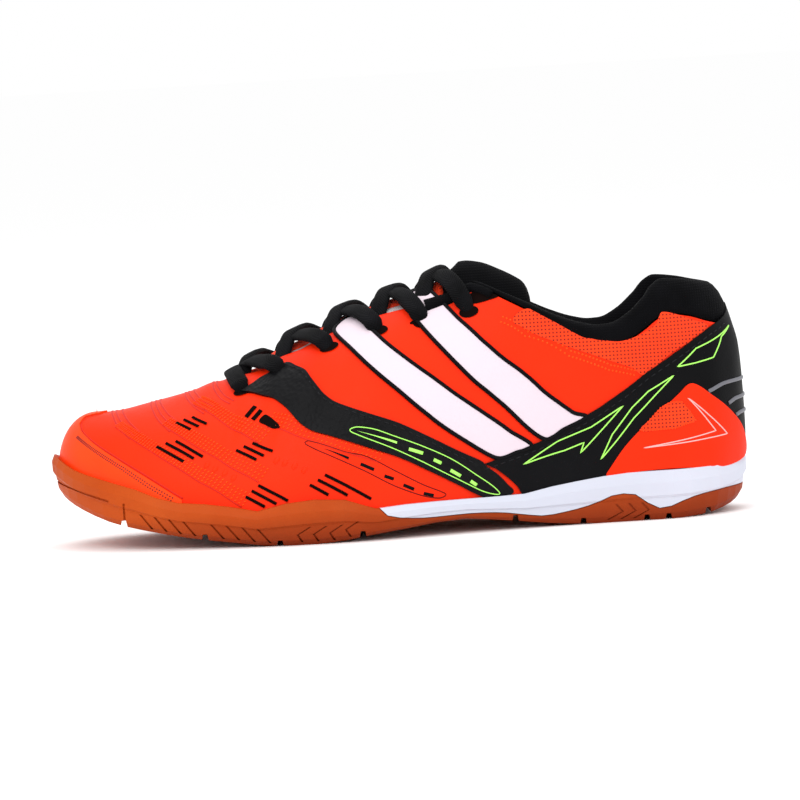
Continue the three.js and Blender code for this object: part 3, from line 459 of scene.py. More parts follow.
def resample(points, step, closed=False, smooth=True):
    """Points at even steps along a polyline, rounded through its corners."""
    line = [Vector((p[0], p[1])) for p in points]
    count = len(line)
    dense = []
    spans = count if closed else count - 1
    for i in range(spans):
        if smooth:
            p0 = line[(i - 1) % count] if closed or i > 0 else line[0] * 2 - line[1]
            p1, p2 = line[i], line[(i + 1) % count]
            p3 = line[(i + 2) % count] if closed or i + 2 < count else line[-1] * 2 - line[-2]
        else:
            p1, p2 = line[i], line[(i + 1) % count]
            p0, p3 = p1 * 2 - p2, p2 * 2 - p1
        parts = max(1, math.ceil((p2 - p1).length / step))
        for k in range(parts):
            t = k / parts
            m1, m2 = (p2 - p0) * 0.5, (p3 - p1) * 0.5
            limit = (p2 - p1).length
            for m in (m1, m2):
                if m.length > limit:
                    m *= limit / m.length
            a = 2 * t ** 3 - 3 * t * t + 1
            b = t ** 3 - 2 * t * t + t
            dense.append(p1 * a + m1 * b + p2 * (1 - a) + m2 * (t ** 3 - t * t))
    if not closed:
        dense.append(line[-1])
    return dense


def mesh_object(name, verts, faces, material, smooth=True, uvs=None):
    mesh = bpy.data.meshes.new(name)
    mesh.from_pydata([tuple(v) for v in verts], [], faces)
    if smooth:
        mesh.shade_smooth()
    if uvs:
        layer = mesh.uv_layers.new(name="UVMap")
        for loop in mesh.loops:
            layer.data[loop.index].uv = uvs[loop.vertex_index]
    mesh.materials.append(material)
    mesh.update()
    obj = bpy.data.objects.new(name, mesh)
    bpy.context.collection.objects.link(obj)
    return obj


PATCH_STEP = 2.6
PATCH_SINK = 0.25
RIBBON_STEP = 1.2
STITCH_LENGTH = 2.3
STITCH_SPACE = 1.1
RIBBON_SECTION = (
    # across, up
    (-0.5, -0.12),
    (-0.42, 0.7),
    (-0.15, 1.0),
    (0.15, 1.0),
    (0.42, 0.7),
    (0.5, -0.12),
)


class Shape:
    """Points and faces in millimetres, gathered into one object."""

    def __init__(self):
        self.points = []
        self.faces = []
        self.uvs = []

    def add(self, points, faces, uvs=None):
        base = len(self.points)
        self.points += points
        self.faces += [tuple(base + i for i in face) for face in faces]
        self.uvs += uvs or [(0.0, 0.0)] * len(points)

    def patch(self, outline, lift, closed_smooth=True, edge=1.1):
        """A raised piece of material inside an outline on the unfolded upper."""
        rim = resample(outline, edge, closed=True, smooth=closed_smooth)
        xs, ys = [p.x for p in rim], [p.y for p in rim]
        points = list(rim)
        count = len(rim)
        nx = int((max(xs) - min(xs)) / PATCH_STEP) + 1
        ny = int((max(ys) - min(ys)) / PATCH_STEP) + 1
        for i in range(nx + 1):
            for j in range(ny + 1):
                p = Vector((min(xs) + i * PATCH_STEP, min(ys) + (j + 0.5 * (i % 2)) * PATCH_STEP))
                if inside(p, rim) and clearance(p, rim) > PATCH_STEP * 0.45:
                    points.append(p)
        edges = [(i, (i + 1) % count) for i in range(count)]
        verts, _, faces, origs, _, _ = delaunay_2d_cdt(points, edges, [], 1, 1e-4)
        ring = resample_ring(origs, count)
        top = [on_skin(v, lift) for v in verts]
        self.add(top, [tuple(f) for f in faces])
        skirt = [verts[i] for i in ring]
        high = [on_skin(v, lift) for v in skirt]
        low = [on_skin(v, -PATCH_SINK) for v in skirt]
        n = len(ring)
        side = [(i, n + i, n + (i + 1) % n, (i + 1) % n) for i in range(n)]
        self.add(high + low, side)

    def ribbon(self, line, width, height, lift=0.0, closed=False, smooth=True):
        """A rounded strip along a line on the unfolded upper."""
        path = resample(line, RIBBON_STEP, closed=closed, smooth=smooth)
        self.strip([on_skin(p, lift) for p in path],
                   [skin_normal(p.x / U_SPAN, p.y / V_SPAN) for p in path], width, height, closed)

    def strip(self, path, normals, width, height, closed=False, end_width=None):
        count = len(path)
        rings = []
        for i, p in enumerate(path):
            ahead = path[(i + 1) % count if closed else min(i + 1, count - 1)]
            behind = path[(i - 1) % count if closed else max(i - 1, 0)]
            run = (ahead - behind).normalized()
            across = normals[i].cross(run).normalized()
            w = width + (end_width - width) * i / (count - 1) if end_width else width
            rings.append([p + across * (s * w) + normals[i] * (h * height) for s, h in RIBBON_SECTION])
        k = len(RIBBON_SECTION)
        faces = []
        spans = count if closed else count - 1
        for i in range(spans):
            a, b = i * k, ((i + 1) % count) * k
            faces += [(a + j, b + j, b + j + 1, a + j + 1) for j in range(k - 1)]
        if not closed:
            faces += [tuple(range(k)), tuple(reversed(range((count - 1) * k, count * k)))]
        self.add([q for ring in rings for q in ring], faces)

    def stitches(self, line, lift, width, height):
        """A row of stitches along a line."""
        path = resample(line, 0.35)
        walked = 0.0
        piece = []
        for i in range(len(path) - 1):
            gap = (on_skin(path[i + 1]) - on_skin(path[i])).length
            if walked % (STITCH_LENGTH + STITCH_SPACE) < STITCH_LENGTH:
                piece.append(path[i])
            elif len(piece) > 1:
                ends = [piece[0], (piece[0] + piece[-1]) / 2, piece[-1]]
                lifts = (lift - 0.1, lift + 0.05, lift - 0.1)
                self.strip([on_skin(p, h) for p, h in zip(ends, lifts)],
                           [skin_normal(p.x / U_SPAN, p.y / V_SPAN) for p in ends], width, height)
                piece = []
            else:
                piece = []
            walked += gap

    def dot(self, place, radius, lift, sides=10, dome=0.0, stretch=1.0, angle=0.0):
        """A small round or oval spot on the leather, flat or domed."""
        u, v = place[0] / U_SPAN, place[1] / V_SPAN
        centre = on_skin(place, lift)
        normal = skin_normal(u, v)
        run = (Vector((1, 0, 0)) - normal * normal.x).normalized()
        run = Matrix.Rotation(angle, 3, normal) @ run
        across = normal.cross(run)
        rings = ((1.0, 0.0), (0.75, 0.7), (0.4, 0.95)) if dome else ((1.0, 0.0),)
        points = [centre + normal * dome]
        for scale, up in rings:
            for k in range(sides):
                t = 2 * math.pi * k / sides
                points.append(centre + run * (math.cos(t) * radius * stretch * scale)
                              + across * (math.sin(t) * radius * scale) + normal * (dome * up))
        faces = []
        for r in range(len(rings) - 1):
            a, b = 1 + r * sides, 1 + (r + 1) * sides
            faces += [(a + k, a + (k + 1) % sides, b + (k + 1) % sides, b + k) for k in range(sides)]
        last = 1 + (len(rings) - 1) * sides
        faces += [(0, last + k, last + (k + 1) % sides) for k in range(sides)]
        self.add(points, faces)

    def dots(self, line, radius, gap, lift, sides=8, dome=0.0, stretch=1.0, angle=0.0):
        for p in resample(line, gap, smooth=False):
            self.dot((p.x, p.y), radius, lift, sides, dome, stretch, angle)

    def build(self, name, material, replaces=(), slot=None):
        points = [to_frame(p) for p in self.points]
        obj = mesh_object(name, points, self.faces, material, uvs=self.uvs)
        finish_piece(obj, replaces)
        return obj


def finish_piece(obj, replaces=()):
    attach(obj, "root")
    if replaces:
        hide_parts(*replaces)


def inside(p, ring):
    """Whether a place lies inside an outline."""
    hit = False
    j = len(ring) - 1
    for i in range(len(ring)):
        a, b = ring[i], ring[j]
        if (a.y > p.y) != (b.y > p.y) and p.x < (b.x - a.x) * (p.y - a.y) / (b.y - a.y) + a.x:
            hit = not hit
        j = i
    return hit


def clearance(p, ring):
    """How far a place lies from the nearest point of an outline."""
    return min((p - q).length for q in ring)


def resample_ring(origs, count):
    """The indices of the outline's own points among a triangulation's."""
    index = {}
    for i, orig in enumerate(origs):
        for o in orig:
            index.setdefault(o, i)
    return [index[i] for i in range(count) if i in index]


# Materials
class Paint:
    """A node material with one Principled shader."""

    def __init__(self, name, color, roughness, **sockets):
        self.material = bpy.data.materials.new(name)
        self.material.use_nodes = True
        self.tree = self.material.node_tree
        self.shader = self.tree.nodes["Principled BSDF"]
        self.shader.inputs["Base Color"].default_value = (*color, 1)
        self.shader.inputs["Roughness"].default_value = roughness
        for key, value in sockets.items():
            self.shader.inputs[key.replace("_", " ")].default_value = value
        self.color = color
        self.roughness = roughness
        self.height = None

    def node(self, kind, **settings):
        node = self.tree.nodes.new(kind)
        for key, value in settings.items():
            if hasattr(node, key):
                setattr(node, key, value)
            else:
                node.inputs[key.replace("_", " ")].default_value = value
        return node

    def link(self, a, b):
        self.tree.links.new(a, b)

    def coords(self, kind="Object"):
        return self.node("ShaderNodeTexCoord").outputs[kind]

    def maths(self, operation, *values):
        """A maths node on sockets or plain numbers."""
        node = self.node("ShaderNodeMath", operation=operation)
        for socket, value in zip(node.inputs, values):
            if isinstance(value, float):
                socket.default_value = value
            else:
                self.link(value, socket)
        return node.outputs[0]

    def ramp(self, source, low, high, start=0.0, end=1.0):
        """A value taken from one range to another."""
        node = self.node("ShaderNodeMapRange")
        for key, value in (("From Min", low), ("From Max", high), ("To Min", start), ("To Max", end)):
            node.inputs[key].default_value = value
        self.link(source, node.inputs["Value"])
        return node.outputs["Result"]

    def noise(self, scale, detail):
        node = self.node("ShaderNodeTexNoise", Scale=scale, Detail=detail)
        self.link(self.coords(), node.inputs["Vector"])
        return node.outputs["Fac"]

    def axis(self, name, kind="Object"):
        """One of the coordinates as a value."""
        parts = self.node("ShaderNodeSeparateXYZ")
        self.link(self.coords(kind), parts.inputs[0])
        return parts.outputs[name]

    def blend(self, other, factor):
        """Another colour over the paint's own, as far as the factor says."""
        mix = self.node("ShaderNodeMix", data_type="RGBA")
        source = self.shader.inputs["Base Color"]
        if source.links:
            self.link(source.links[0].from_socket, mix.inputs[6])
        else:
            mix.inputs[6].default_value = (*self.color, 1)
        mix.inputs[7].default_value = (*other, 1)
        self.link(factor, mix.inputs["Factor"])
        self.link(mix.outputs[2], source)
        return self

    def mottle(self, other, scale, amount):
        """Colour that drifts between the base colour and another."""
        return self.blend(other, self.ramp(self.noise(scale, 4.0), 0.35, 0.7, 0.0, amount))

    def lower(self, other, low, high):
        """Another colour below, going over into the paint's own between two heights; the outsole uses it to
        paint shade low on its side.
        """
        return self.blend(other, self.ramp(self.axis("Z"), high, low))

    def uneven(self, low, high):
        """Roughness that drifts between two values."""
        drift = self.ramp(self.noise(60.0, 5.0), 0.3, 0.7, low, high)
        self.link(drift, self.shader.inputs["Roughness"])
        return self

    def bump(self, source, strength, distance):
        node = self.node("ShaderNodeBump", Strength=strength, Distance=distance)
        self.link(source, node.inputs["Height"])
        if self.height:
            self.link(self.height, node.inputs["Normal"])
        self.height = node.outputs["Normal"]
        self.link(self.height, self.shader.inputs["Normal"])
        return self

    def grain(self, scale, strength, distance):
        cells = self.node("ShaderNodeTexVoronoi", Scale=scale)
        self.link(self.coords(), cells.inputs["Vector"])
        return self.bump(cells.outputs["Distance"], strength, distance)

    def noise_bump(self, scale, strength, distance, detail=6.0):
        return self.bump(self.noise(scale, detail), strength, distance)

    def cells(self, pitch, cell_shade):
        """A knit of small holes in staggered rows, with painted shade inside the holes."""
        x, z = self.axis("X"), self.axis("Z")
        waves = []
        for operation in ("ADD", "SUBTRACT"):
            turns = self.maths("MULTIPLY", self.maths(operation, x, z), math.pi / pitch)
            waves.append(self.maths("SINE", turns))
        holes = self.ramp(self.maths("MULTIPLY", *waves), 0.25, 0.75)
        return self.blend(cell_shade, holes).bump(holes, -0.8, 0.0004)

    def weave(self, scale, strength, distance):
        """Two crossed waves, as a knit or a woven tape has."""
        waves = []
        for direction in ("X", "Z"):
            wave = self.node("ShaderNodeTexWave", Scale=scale, Distortion=0.6, Detail=1.0)
            wave.bands_direction = direction
            self.link(self.coords(), wave.inputs["Vector"])
            waves.append(wave.outputs["Fac"])
        return self.bump(self.maths("MULTIPLY", *waves), strength, distance)


COLOURS = {
    "orange": (0.93, 0.027, 0.0015),
    "orange_light": (0.95, 0.07, 0.004),
    "gum": (0.46, 0.062, 0.005),
    "foam": (0.57, 0.59, 0.68),
    "white": (0.7, 0.59, 0.65),
    "black": (0.0012, 0.0012, 0.0016),
    "green": (0.38, 0.9, 0.12),
    "pale_pink": (0.9, 0.42, 0.4),
    "dark_red": (0.12, 0.006, 0.004),
    # Painted shade: near-black brown for the inside of slits, slots and eyelet holes.
    "hole_shade_colour": (0.006, 0.0025, 0.002),
    "grey": (0.12, 0.12, 0.14),
    # Painted shade: dark orange that stands in for the shade in the pressed grooves.
    "pressed_shade": (0.58, 0.012, 0.0008),
    # Painted shade: dark red for the inside of the toe cap's pinholes.
    "pinhole_shade": (0.2, 0.006, 0.002),
    "thread": (0.012, 0.012, 0.014),
}
PRINTS = (
    # key, name, colour, roughness, gloss
    # The pressed-line material is painted shade in the grooves.
    ("pressed_shade", "pressed_line_shade", "pressed_shade", 0.5, 0.2),
    ("green", "green_print", "green", 0.4, 0.5),
    ("pink", "pale_print", "pale_pink", 0.42, 0.5),
    ("dark_red", "dark_red_print", "dark_red", 0.45, 0.1),
    # The slit material is painted shade in cuts and openings.
    ("hole_shade", "painted_hole_shade", "hole_shade_colour", 0.8, 0.03),
    # The pinhole material is painted shade in the perforations.
    ("pinhole_shade", "pinhole_shade", "pinhole_shade", 0.8, 0.5),
    ("grey", "grey_rib", "grey", 0.45, 0.5),
)


def make_materials():
    c = COLOURS
    paints = {}
    paints["orange"] = (
        Paint("orange_synthetic", c["orange"], 0.46, Specular_IOR_Level=0.09)
        .mottle((0.8, 0.016, 0.0008), 9.0, 0.5).uneven(0.38, 0.52)
        .noise_bump(55.0, 0.16, 0.0006).grain(1500.0, 0.28, 0.00012)
    )
    paints["toe"] = (
        Paint("toe_synthetic", c["orange_light"], 0.42, Specular_IOR_Level=0.14, Coat_Weight=0.02)
        .mottle(c["orange"], 16.0, 0.75).uneven(0.36, 0.5)
        .noise_bump(70.0, 0.14, 0.0005).grain(1300.0, 0.25, 0.00012)
    )
    # Orange mesh; its holes get painted shade from cells().
    paints["mesh"] = (
        Paint("orange_mesh", (0.93, 0.045, 0.003), 0.7, Specular_IOR_Level=0.2, Sheen_Weight=0.05)
        .mottle((0.7, 0.018, 0.002), 30.0, 0.5).cells(0.0015, (0.16, 0.005, 0.001))
    )
    paints["white"] = (
        Paint("white_synthetic", c["white"], 0.42, Specular_IOR_Level=0.4, Coat_Weight=0.04)
        .mottle((0.64, 0.52, 0.59), 14.0, 0.35).noise_bump(60.0, 0.1, 0.0005).grain(1500.0, 0.2, 0.0001)
    )
    paints["black"] = (
        Paint("black_synthetic", c["black"], 0.4, Specular_IOR_Level=0.07)
        .mottle((0.004, 0.004, 0.005), 22.0, 0.7).uneven(0.38, 0.55)
        .noise_bump(60.0, 0.12, 0.0005).grain(1500.0, 0.3, 0.00012)
    )
    paints["scaled"] = (
        Paint("black_wrinkled", c["black"], 0.36, Specular_IOR_Level=0.1)
        .mottle((0.004, 0.004, 0.005), 40.0, 0.7).uneven(0.34, 0.5)
        .noise_bump(190.0, 0.7, 0.0009, 3.0).grain(520.0, 0.5, 0.0004)
    )
    paints["knit"] = (
        Paint("black_lining", (0.0014, 0.0014, 0.0018), 0.8, Specular_IOR_Level=0.04, Sheen_Weight=0.01)
        .mottle((0.004, 0.004, 0.005), 80.0, 0.7).weave(300.0, 0.5, 0.0004)
    )
    paints["tongue"] = (
        Paint("tongue_fabric", (0.9, 0.045, 0.005), 0.75, Specular_IOR_Level=0.2, Sheen_Weight=0.05)
        .mottle((0.6, 0.02, 0.004), 40.0, 0.6).weave(260.0, 0.6, 0.0005)
    )
    paints["strip"] = (
        Paint("grey_binding", (0.3, 0.24, 0.24), 0.8, Specular_IOR_Level=0.2)
        .mottle((0.6, 0.55, 0.56), 60.0, 0.8).weave(320.0, 0.5, 0.0004)
    )
    lace = Paint("lace_weave", (0.0016, 0.0016, 0.002), 0.7, Specular_IOR_Level=0.06, Sheen_Weight=0.01)
    paints["lace"] = lace.mottle((0.006, 0.006, 0.0075), 120.0, 0.8)
    lace_pattern(lace)
    paints["gum"] = (
        Paint("gum_rubber", c["gum"], 0.5, Specular_IOR_Level=0.1)
        .mottle((0.22, 0.024, 0.004), 12.0, 0.7).mottle((0.56, 0.11, 0.018), 45.0, 0.25)
        # Painted shade: the rubber turns darker towards the bottom of the outsole's side.
        .lower((0.2, 0.022, 0.003), 0.0, 0.014).uneven(0.42, 0.6).noise_bump(160.0, 0.14, 0.0004)
    )
    paints["foam"] = (
        Paint("white_foam", c["foam"], 0.55, Specular_IOR_Level=0.35)
        .mottle((0.5, 0.52, 0.6), 16.0, 0.4).noise_bump(260.0, 0.12, 0.0003)
    )
    for key, name, colour, roughness, gloss in PRINTS:
        paint = Paint(name, c[colour], roughness, Specular_IOR_Level=gloss)
        paints[key] = paint.noise_bump(300.0, 0.1, 0.0002)
    thread = Paint("dark_thread", c["thread"], 0.6, Specular_IOR_Level=0.1)
    paints["thread"] = thread.noise_bump(900.0, 0.4, 0.0003)
    paints["insole"] = (
        Paint("insole_cloth", (0.015, 0.015, 0.017), 0.9, Specular_IOR_Level=0.2, Sheen_Weight=0.06)
        .mottle((0.03, 0.03, 0.034), 60.0, 0.6).weave(240.0, 0.5, 0.0004)
    )
    return {name: paint.material for name, paint in paints.items()}


THREAD_PITCH = 1.25


def lace_pattern(paint):
    """Slanted threads to each side of the lace's middle, from the strip's own coordinates."""
    slant = paint.maths("ADD", paint.axis("X", "UV"), paint.maths("ABSOLUTE", paint.axis("Y", "UV")))
    turns = paint.maths("MULTIPLY", slant, 2 * math.pi / THREAD_PITCH)
    paint.bump(paint.maths("SINE", turns), 0.5, 0.00025)


# Outlines, in the photograph's pixels, all on the outer side
ROAD_TOP = (
    (288, 364), (297, 367), (306, 371), (312, 379), (319, 388), (325, 395), (335, 402), (350, 408),
    (372, 415), (400, 424), (431, 438), (456, 450), (481, 461),
)
ROAD_END = ((487, 467), (497, 474), (507, 484), (513, 492))
ROAD_BOTTOM = (
    (497, 503), (478, 495), (456, 484), (431, 472), (400, 458), (372, 449), (340, 439), (315, 432),
    (305, 427), (296, 419), (289, 411), (282, 404), (271, 398), (254, 394), (242, 392),
)
ROAD_FRONT = ((252, 386), (262, 379), (274, 372))
SADDLE_TOP = (
    (484, 464), (502, 457), (510, 454), (539, 442), (560, 431), (580, 419), (600, 407), (627, 388),
    (647, 372), (674, 353), (694, 338), (707, 328), (722, 315),
)
SADDLE_FRONT = ((523, 496), (517, 486), (507, 477), (496, 469))
HEEL_PANEL_TOP = (
    (606, 473.6), (623, 448.6), (640.7, 429), (658.6, 412.9), (676.4, 395), (690, 383.4),
)
HEEL_PANEL_BACK = (
    (712, 396.8), (730, 412.9), (739, 427), (742.5, 445), (740.7, 455), (721, 465.5), (676.4, 467.5),
    (640.7, 471), (606, 478),
)
HEEL_PATCH = (
    (640, 431), (650, 419), (660, 408), (670, 402), (680, 402), (693, 420), (684, 424), (674, 428),
)
MESH_INSERT = (
    (529.8, 308.8), (519.3, 311.6), (513, 318.6), (515, 324), (539, 336), (569, 347), (605, 359),
    (632, 368), (644, 375), (674, 351), (707.7, 328), (690, 319), (662, 312), (656, 323.6),
    (640.7, 334.3), (619, 341.4), (596, 338.8), (582, 336.8), (554, 321.4),
)
MESH_DOTS = (
    ((501, 322), (525, 336), (569, 356), (609, 370), (634, 375)),
    ((503, 317), (528, 331.5), (571, 351), (611, 365), (638, 371)),
)
WHITE_BANDS = (
    # the fore band and the rear band, each from the eyestay down to the sole
    ((335, 331), (352, 318), (388, 345), (430, 376), (470, 404), (508, 430), (532, 446), (517, 452),
     (497, 458), (470, 444), (430, 417), (385, 380), (352, 350)),
    ((400, 300), (424, 290), (462, 322), (500, 356), (540, 388), (572, 412), (586, 417), (564, 429),
     (545, 439), (520, 421), (480, 386), (440, 347), (414, 318)),
)
TOE_CAP_EDGE = (
    (100, 413.7), (86, 417), (80.5, 424), (82, 432), (93, 443), (118, 460), (150, 480), (182, 500),
)
TOE_PINHOLES = ((78.6, 437), (100, 453), (124, 468), (150, 485), (173, 498))
GREEN_SLOT = (
    (350, 430.3), (356.5, 427.8), (373, 429.6), (394, 436.6), (422, 446.5), (450.5, 459), (476, 475),
    (499, 493), (482, 491), (450.5, 476), (422, 462), (394, 449.3), (366, 438.7), (352, 433),
)
GREEN_WEDGE = ((357, 431.7), (396.7, 442), (396.2, 444.2))
GREEN_DASHES = (
    ((408.4, 449.3), (422.4, 453.5)), ((433, 459.8), (440.6, 463.3)), ((449.8, 470.3), (460, 476)),
    ((470, 481), (476, 485)),
)
RED_SLOT = (
    (304.8, 442.2), (308.7, 440.8), (343.8, 451.4), (366.3, 456.3), (394.3, 470.3), (422.4, 484.3),
    (446, 494), (440, 498), (422.4, 495.6), (394.3, 485.7), (366.3, 471.7), (338, 459), (318.6, 450.7),
    (306, 444.4),
)
RED_WEDGE = ((324.2, 448.6), (349, 457), (348.4, 459.6))
RED_DASHES = (
    ((360.7, 464), (374, 469.6)), ((384.5, 476), (393.6, 479)), ((403.5, 485), (414, 489.3)),
    ((423.8, 493.5), (433.6, 495.6)),
)
SLITS = (
    ((176.5, 423), (191, 430)), ((184, 420), (199, 427)), ((192.5, 417.5), (207, 424.5)),
    ((157, 447), (184, 462)), ((166, 443.5), (194, 459)), ((176, 441.5), (203, 457)),
    ((236.5, 450.6), (256.5, 460)), ((244, 446.5), (264, 456)), ((252.5, 443), (273, 451.4)),
    ((246, 497), (265, 507)), ((252, 491), (276.5, 504)), ((258.5, 485.5), (288, 501)),
    ((310, 485), (328.5, 495)), ((318, 480), (347.6, 495.4)), ((325, 475), (371, 499)),
)
OVAL_ROWS = (
    ((276.5, 460.5), (285, 463), (294.7, 466), (304.5, 470)),
    ((207, 465), (215, 469), (225, 473), (233.6, 478)),
)
# Pressed lines are drawn as dark ribbons: painted shade in their grooves.
PRESSED_LINES = (
    # three lines to a group, from the ridge down to the bands
    ((113, 408), (113, 416), (119, 428), (130, 439)),
    ((117, 407), (117, 414), (123, 425), (134, 436)),
    ((122.8, 405), (122.8, 411), (129, 422), (140, 433)),
    ((152, 400), (152, 408), (158, 420), (170, 432)),
    ((156.5, 399), (156.5, 406), (163, 417), (175, 428)),
    ((161, 397), (161, 404), (168, 414), (180, 424)),
    ((186, 388), (186, 397), (193, 406), (204, 414)),
    ((189.4, 386), (189.4, 394), (197, 403), (208, 411)),
    ((194.3, 384), (194.3, 391), (202, 400), (213, 407)),
    ((214, 379), (214, 389), (220, 398), (230, 404)),
    ((217.5, 377), (217.5, 386), (224, 395), (234, 401)),
)
DASH_BANDS = (
    ((116, 426), (150, 449), (195, 477), (243, 505)),
    ((163.5, 424), (210, 452), (260, 480)),
    ((194, 403), (225, 422), (260, 441)),
    ((268, 424), (300, 434), (340, 447), (380, 459)),
)
CHEVRON = ((686, 398), (723.8, 433.4), (643.4, 447.7), (713, 430.5))
GREEN_DARTS = (
    ((522.9, 464.3), (556.8, 441.4), (590.7, 427), (622.9, 405.7), (580, 453), (583.6, 442.3),
     (563.9, 450.4)),
    ((600.5, 459.3), (612, 434.3), (631.8, 407.5), (647.9, 391.4), (672.9, 375.4), (655, 395), (633.6, 418),
     (615.7, 441.4)),
    ((676.4, 366.8), (694.3, 348.6), (726, 326), (719, 337), (711.3, 357.5), (694.3, 362.9)),
)
GREY_RIBS = (
    ((706.8, 391.4), (722, 383), (738.9, 377)), ((726.4, 403), (733, 398), (740.7, 393)),
    ((733.6, 414.6), (738, 411.5), (742.5, 408.4)),
)
LACE_SLOTS = (
    ((410, 324), (418, 318), (429, 313), (440, 314), (447.6, 316), (436, 320), (424, 323)),
    ((460, 304), (468, 296), (478, 291), (490, 293), (498, 296.6), (486, 301), (472, 304)),
    ((259, 421.2), (265.3, 414.9), (273, 419), (280, 426.8), (273.7, 428.2), (266, 425)),
)
LACE_BARS = (((246.3, 417.7), (255.4, 406.5)), ((252.6, 419.8), (261, 410)))


# The pieces
def offset_line(points, distance):
    """A line beside another, that far to its left on the leather."""
    line = [Vector(p) for p in points]
    moved = []
    for i, p in enumerate(line):
        run = (line[min(i + 1, len(line) - 1)] - line[max(i - 1, 0)]).normalized()
        moved.append((p.x - run.y * distance, p.y + run.x * distance))
    return moved


STATIONS = 200
LEVELS = 56


def upper_shell():
    """The upper's outer and inner faces, joined along every open edge."""
    shape = Shape()
    us = [i / STATIONS for i in range(STATIONS + 1)]
    edges = []
    for u in us:
        along = (1 - math.cos(math.pi * u)) / 2
        edges.append(math.asin(min(1.0, upper_edge(along))) * 2 / math.pi)
    for sign in (1, -1):
        for face in (0, 1):
            points = []
            for u, edge in zip(us, edges):
                for j in range(LEVELS + 1):
                    place = (sign * u * U_SPAN, edge * j / LEVELS * V_SPAN)
                    points.append(on_skin(place, -UPPER_WALL * face))
            faces = []
            for i in range(STATIONS):
                for j in range(LEVELS):
                    a = i * (LEVELS + 1) + j
                    b = a + LEVELS + 1
                    quad = (a, b, b + 1, a + 1)
                    if (sign == -1) != (face == 1):
                        quad = quad[::-1]
                    faces.append(quad)
            shape.add(points, faces)
        rim = []
        for u, edge in zip(us, edges):
            rim.append([on_skin((sign * u * U_SPAN, edge * V_SPAN), -UPPER_WALL * t) for t in (0, 0.5, 1)])
        flat = [p for row in rim for p in row]
        faces = []
        for i in range(STATIONS):
            if min(edges[i], edges[i + 1]) > 0.9999:
                continue
            for j in range(2):
                a = i * 3 + j
                quad = (a, a + 3, a + 4, a + 1)
                faces.append(quad if sign == 1 else quad[::-1])
        shape.add(flat, faces)
    return shape


JOIN_WITHIN = 0.00004


def join_doubles(obj):
    """Joins the shell's halves along the ridge, the toe and the heel."""
    work = bmesh.new()
    work.from_mesh(obj.data)
    bmesh.ops.remove_doubles(work, verts=work.verts, dist=JOIN_WITHIN)
    work.to_mesh(obj.data)
    work.free()


def inward(along, level, side):
    if along >= 0.9999:
        return Vector((-1, 0, 0))
    step = 0.004
    run = last_point(min(1, along + step), level, side) - last_point(along - step, level, side)
    return Vector((side * run.y, -side * run.x, 0)).normalized()


COLLAR_FIRST = 0.663
COLLAR_STATIONS = 70
COLLAR_THIN = 0.3
COLLAR_SWELL = 0.12
COLLAR_PADDING = 5.5
COLLAR_PROUD = 0.7
COLLAR_SKIRT = 16
COLLAR_SECTION = (
    # up, inward, wall, proud
    (0.0, 0.0, 0, 0.0),
    (0.22, 0.0, 0, 0.9),
    (0.5, 0.0, 0, 1.3),
    (0.74, 0.03, 0, 0.9),
    (0.9, 0.16, 0, 0.4),
    (0.98, 0.34, 0, 0),
    (1.0, 0.55, 0, 0),
    (0.99, 0.8, 0, 0),
    (0.92, 1.08, 0, 0),
    (0.74, 1.28, 0, 0),
    (0.45, 1.16, 1, 0),
    (0.1, 1.12, 1, 0),
    (-0.3, 0.92, 1, 0),
    (-0.7, 0.5, 1, 0),
    (-1.0, 0.2, 1, 0),
    (-1.0, 0.0, 1, 0),
    (-0.02, 0.0, 1, 0),
)


def collar_shape():
    """The padded cuff and its lining, swept round the heel."""
    shape = Shape()
    count = COLLAR_STATIONS
    first = math.acos(1 - 2 * COLLAR_FIRST) / math.pi
    us = [first + (1 - first) * i / count for i in range(count + 1)]
    sections = []

    def section(u, side):
        s = (1 - math.cos(math.pi * u)) / 2
        top = below_line(s, collar_top)
        low = below_line(s, lambda x: collar_top(x) - cuff_height(x) + COLLAR_SEAM / 2)
        hem = below_line(s, lambda x: collar_top(x) - cuff_height(x) - COLLAR_SKIRT)
        swell = min(1, COLLAR_THIN + (s - COLLAR_FIRST) / COLLAR_SWELL)
        ring = []
        for up, into, wall, proud in COLLAR_SECTION:
            level = low + (low - hem) * up if up < 0 else low + (top - low) * up
            depth = COLLAR_PADDING * swell * into + (UPPER_WALL + LINING_CLEARANCE) * wall
            p = last_point(s, level, side)
            ring.append(p + inward(s, level, side) * (depth - COLLAR_PROUD * swell * proud))
        return ring

    for u in us:
        sections.append(section(u, -1))
    for u in reversed(us[:-1]):
        sections.append(section(u, 1))
    k = len(COLLAR_SECTION)
    points = [p for ring in sections for p in ring]
    faces = []
    for i in range(len(sections) - 1):
        for j in range(k):
            a, b = i * k + j, i * k + (j + 1) % k
            faces.append((a, a + k, b + k, b))
    faces += [tuple(range(k)), tuple(reversed(range((len(sections) - 1) * k, len(sections) * k)))]
    shape.add(points, faces)
    return shape


def last_top(x, y):
    """The height of the last's skin over a place in plan."""

    def holds(level):
        front = toe_front(level)
        along = (x - front) / (heel_back(level) - front)
        aside = abs(y - middle(along) - BALL_WIDTH * lean(along) * level)
        return half_at(along, level) >= aside

    level = level_where(holds)
    return foot(x) + level * (ridge(x) - foot(x))


def face_normal(x, y):
    step = 0.5
    dx = (last_top(x + step, y) - last_top(x - step, y)) / (2 * step)
    dy = (last_top(x, y + step) - last_top(x, y - step)) / (2 * step)
    return Vector((-dx, -dy, 1)).normalized()


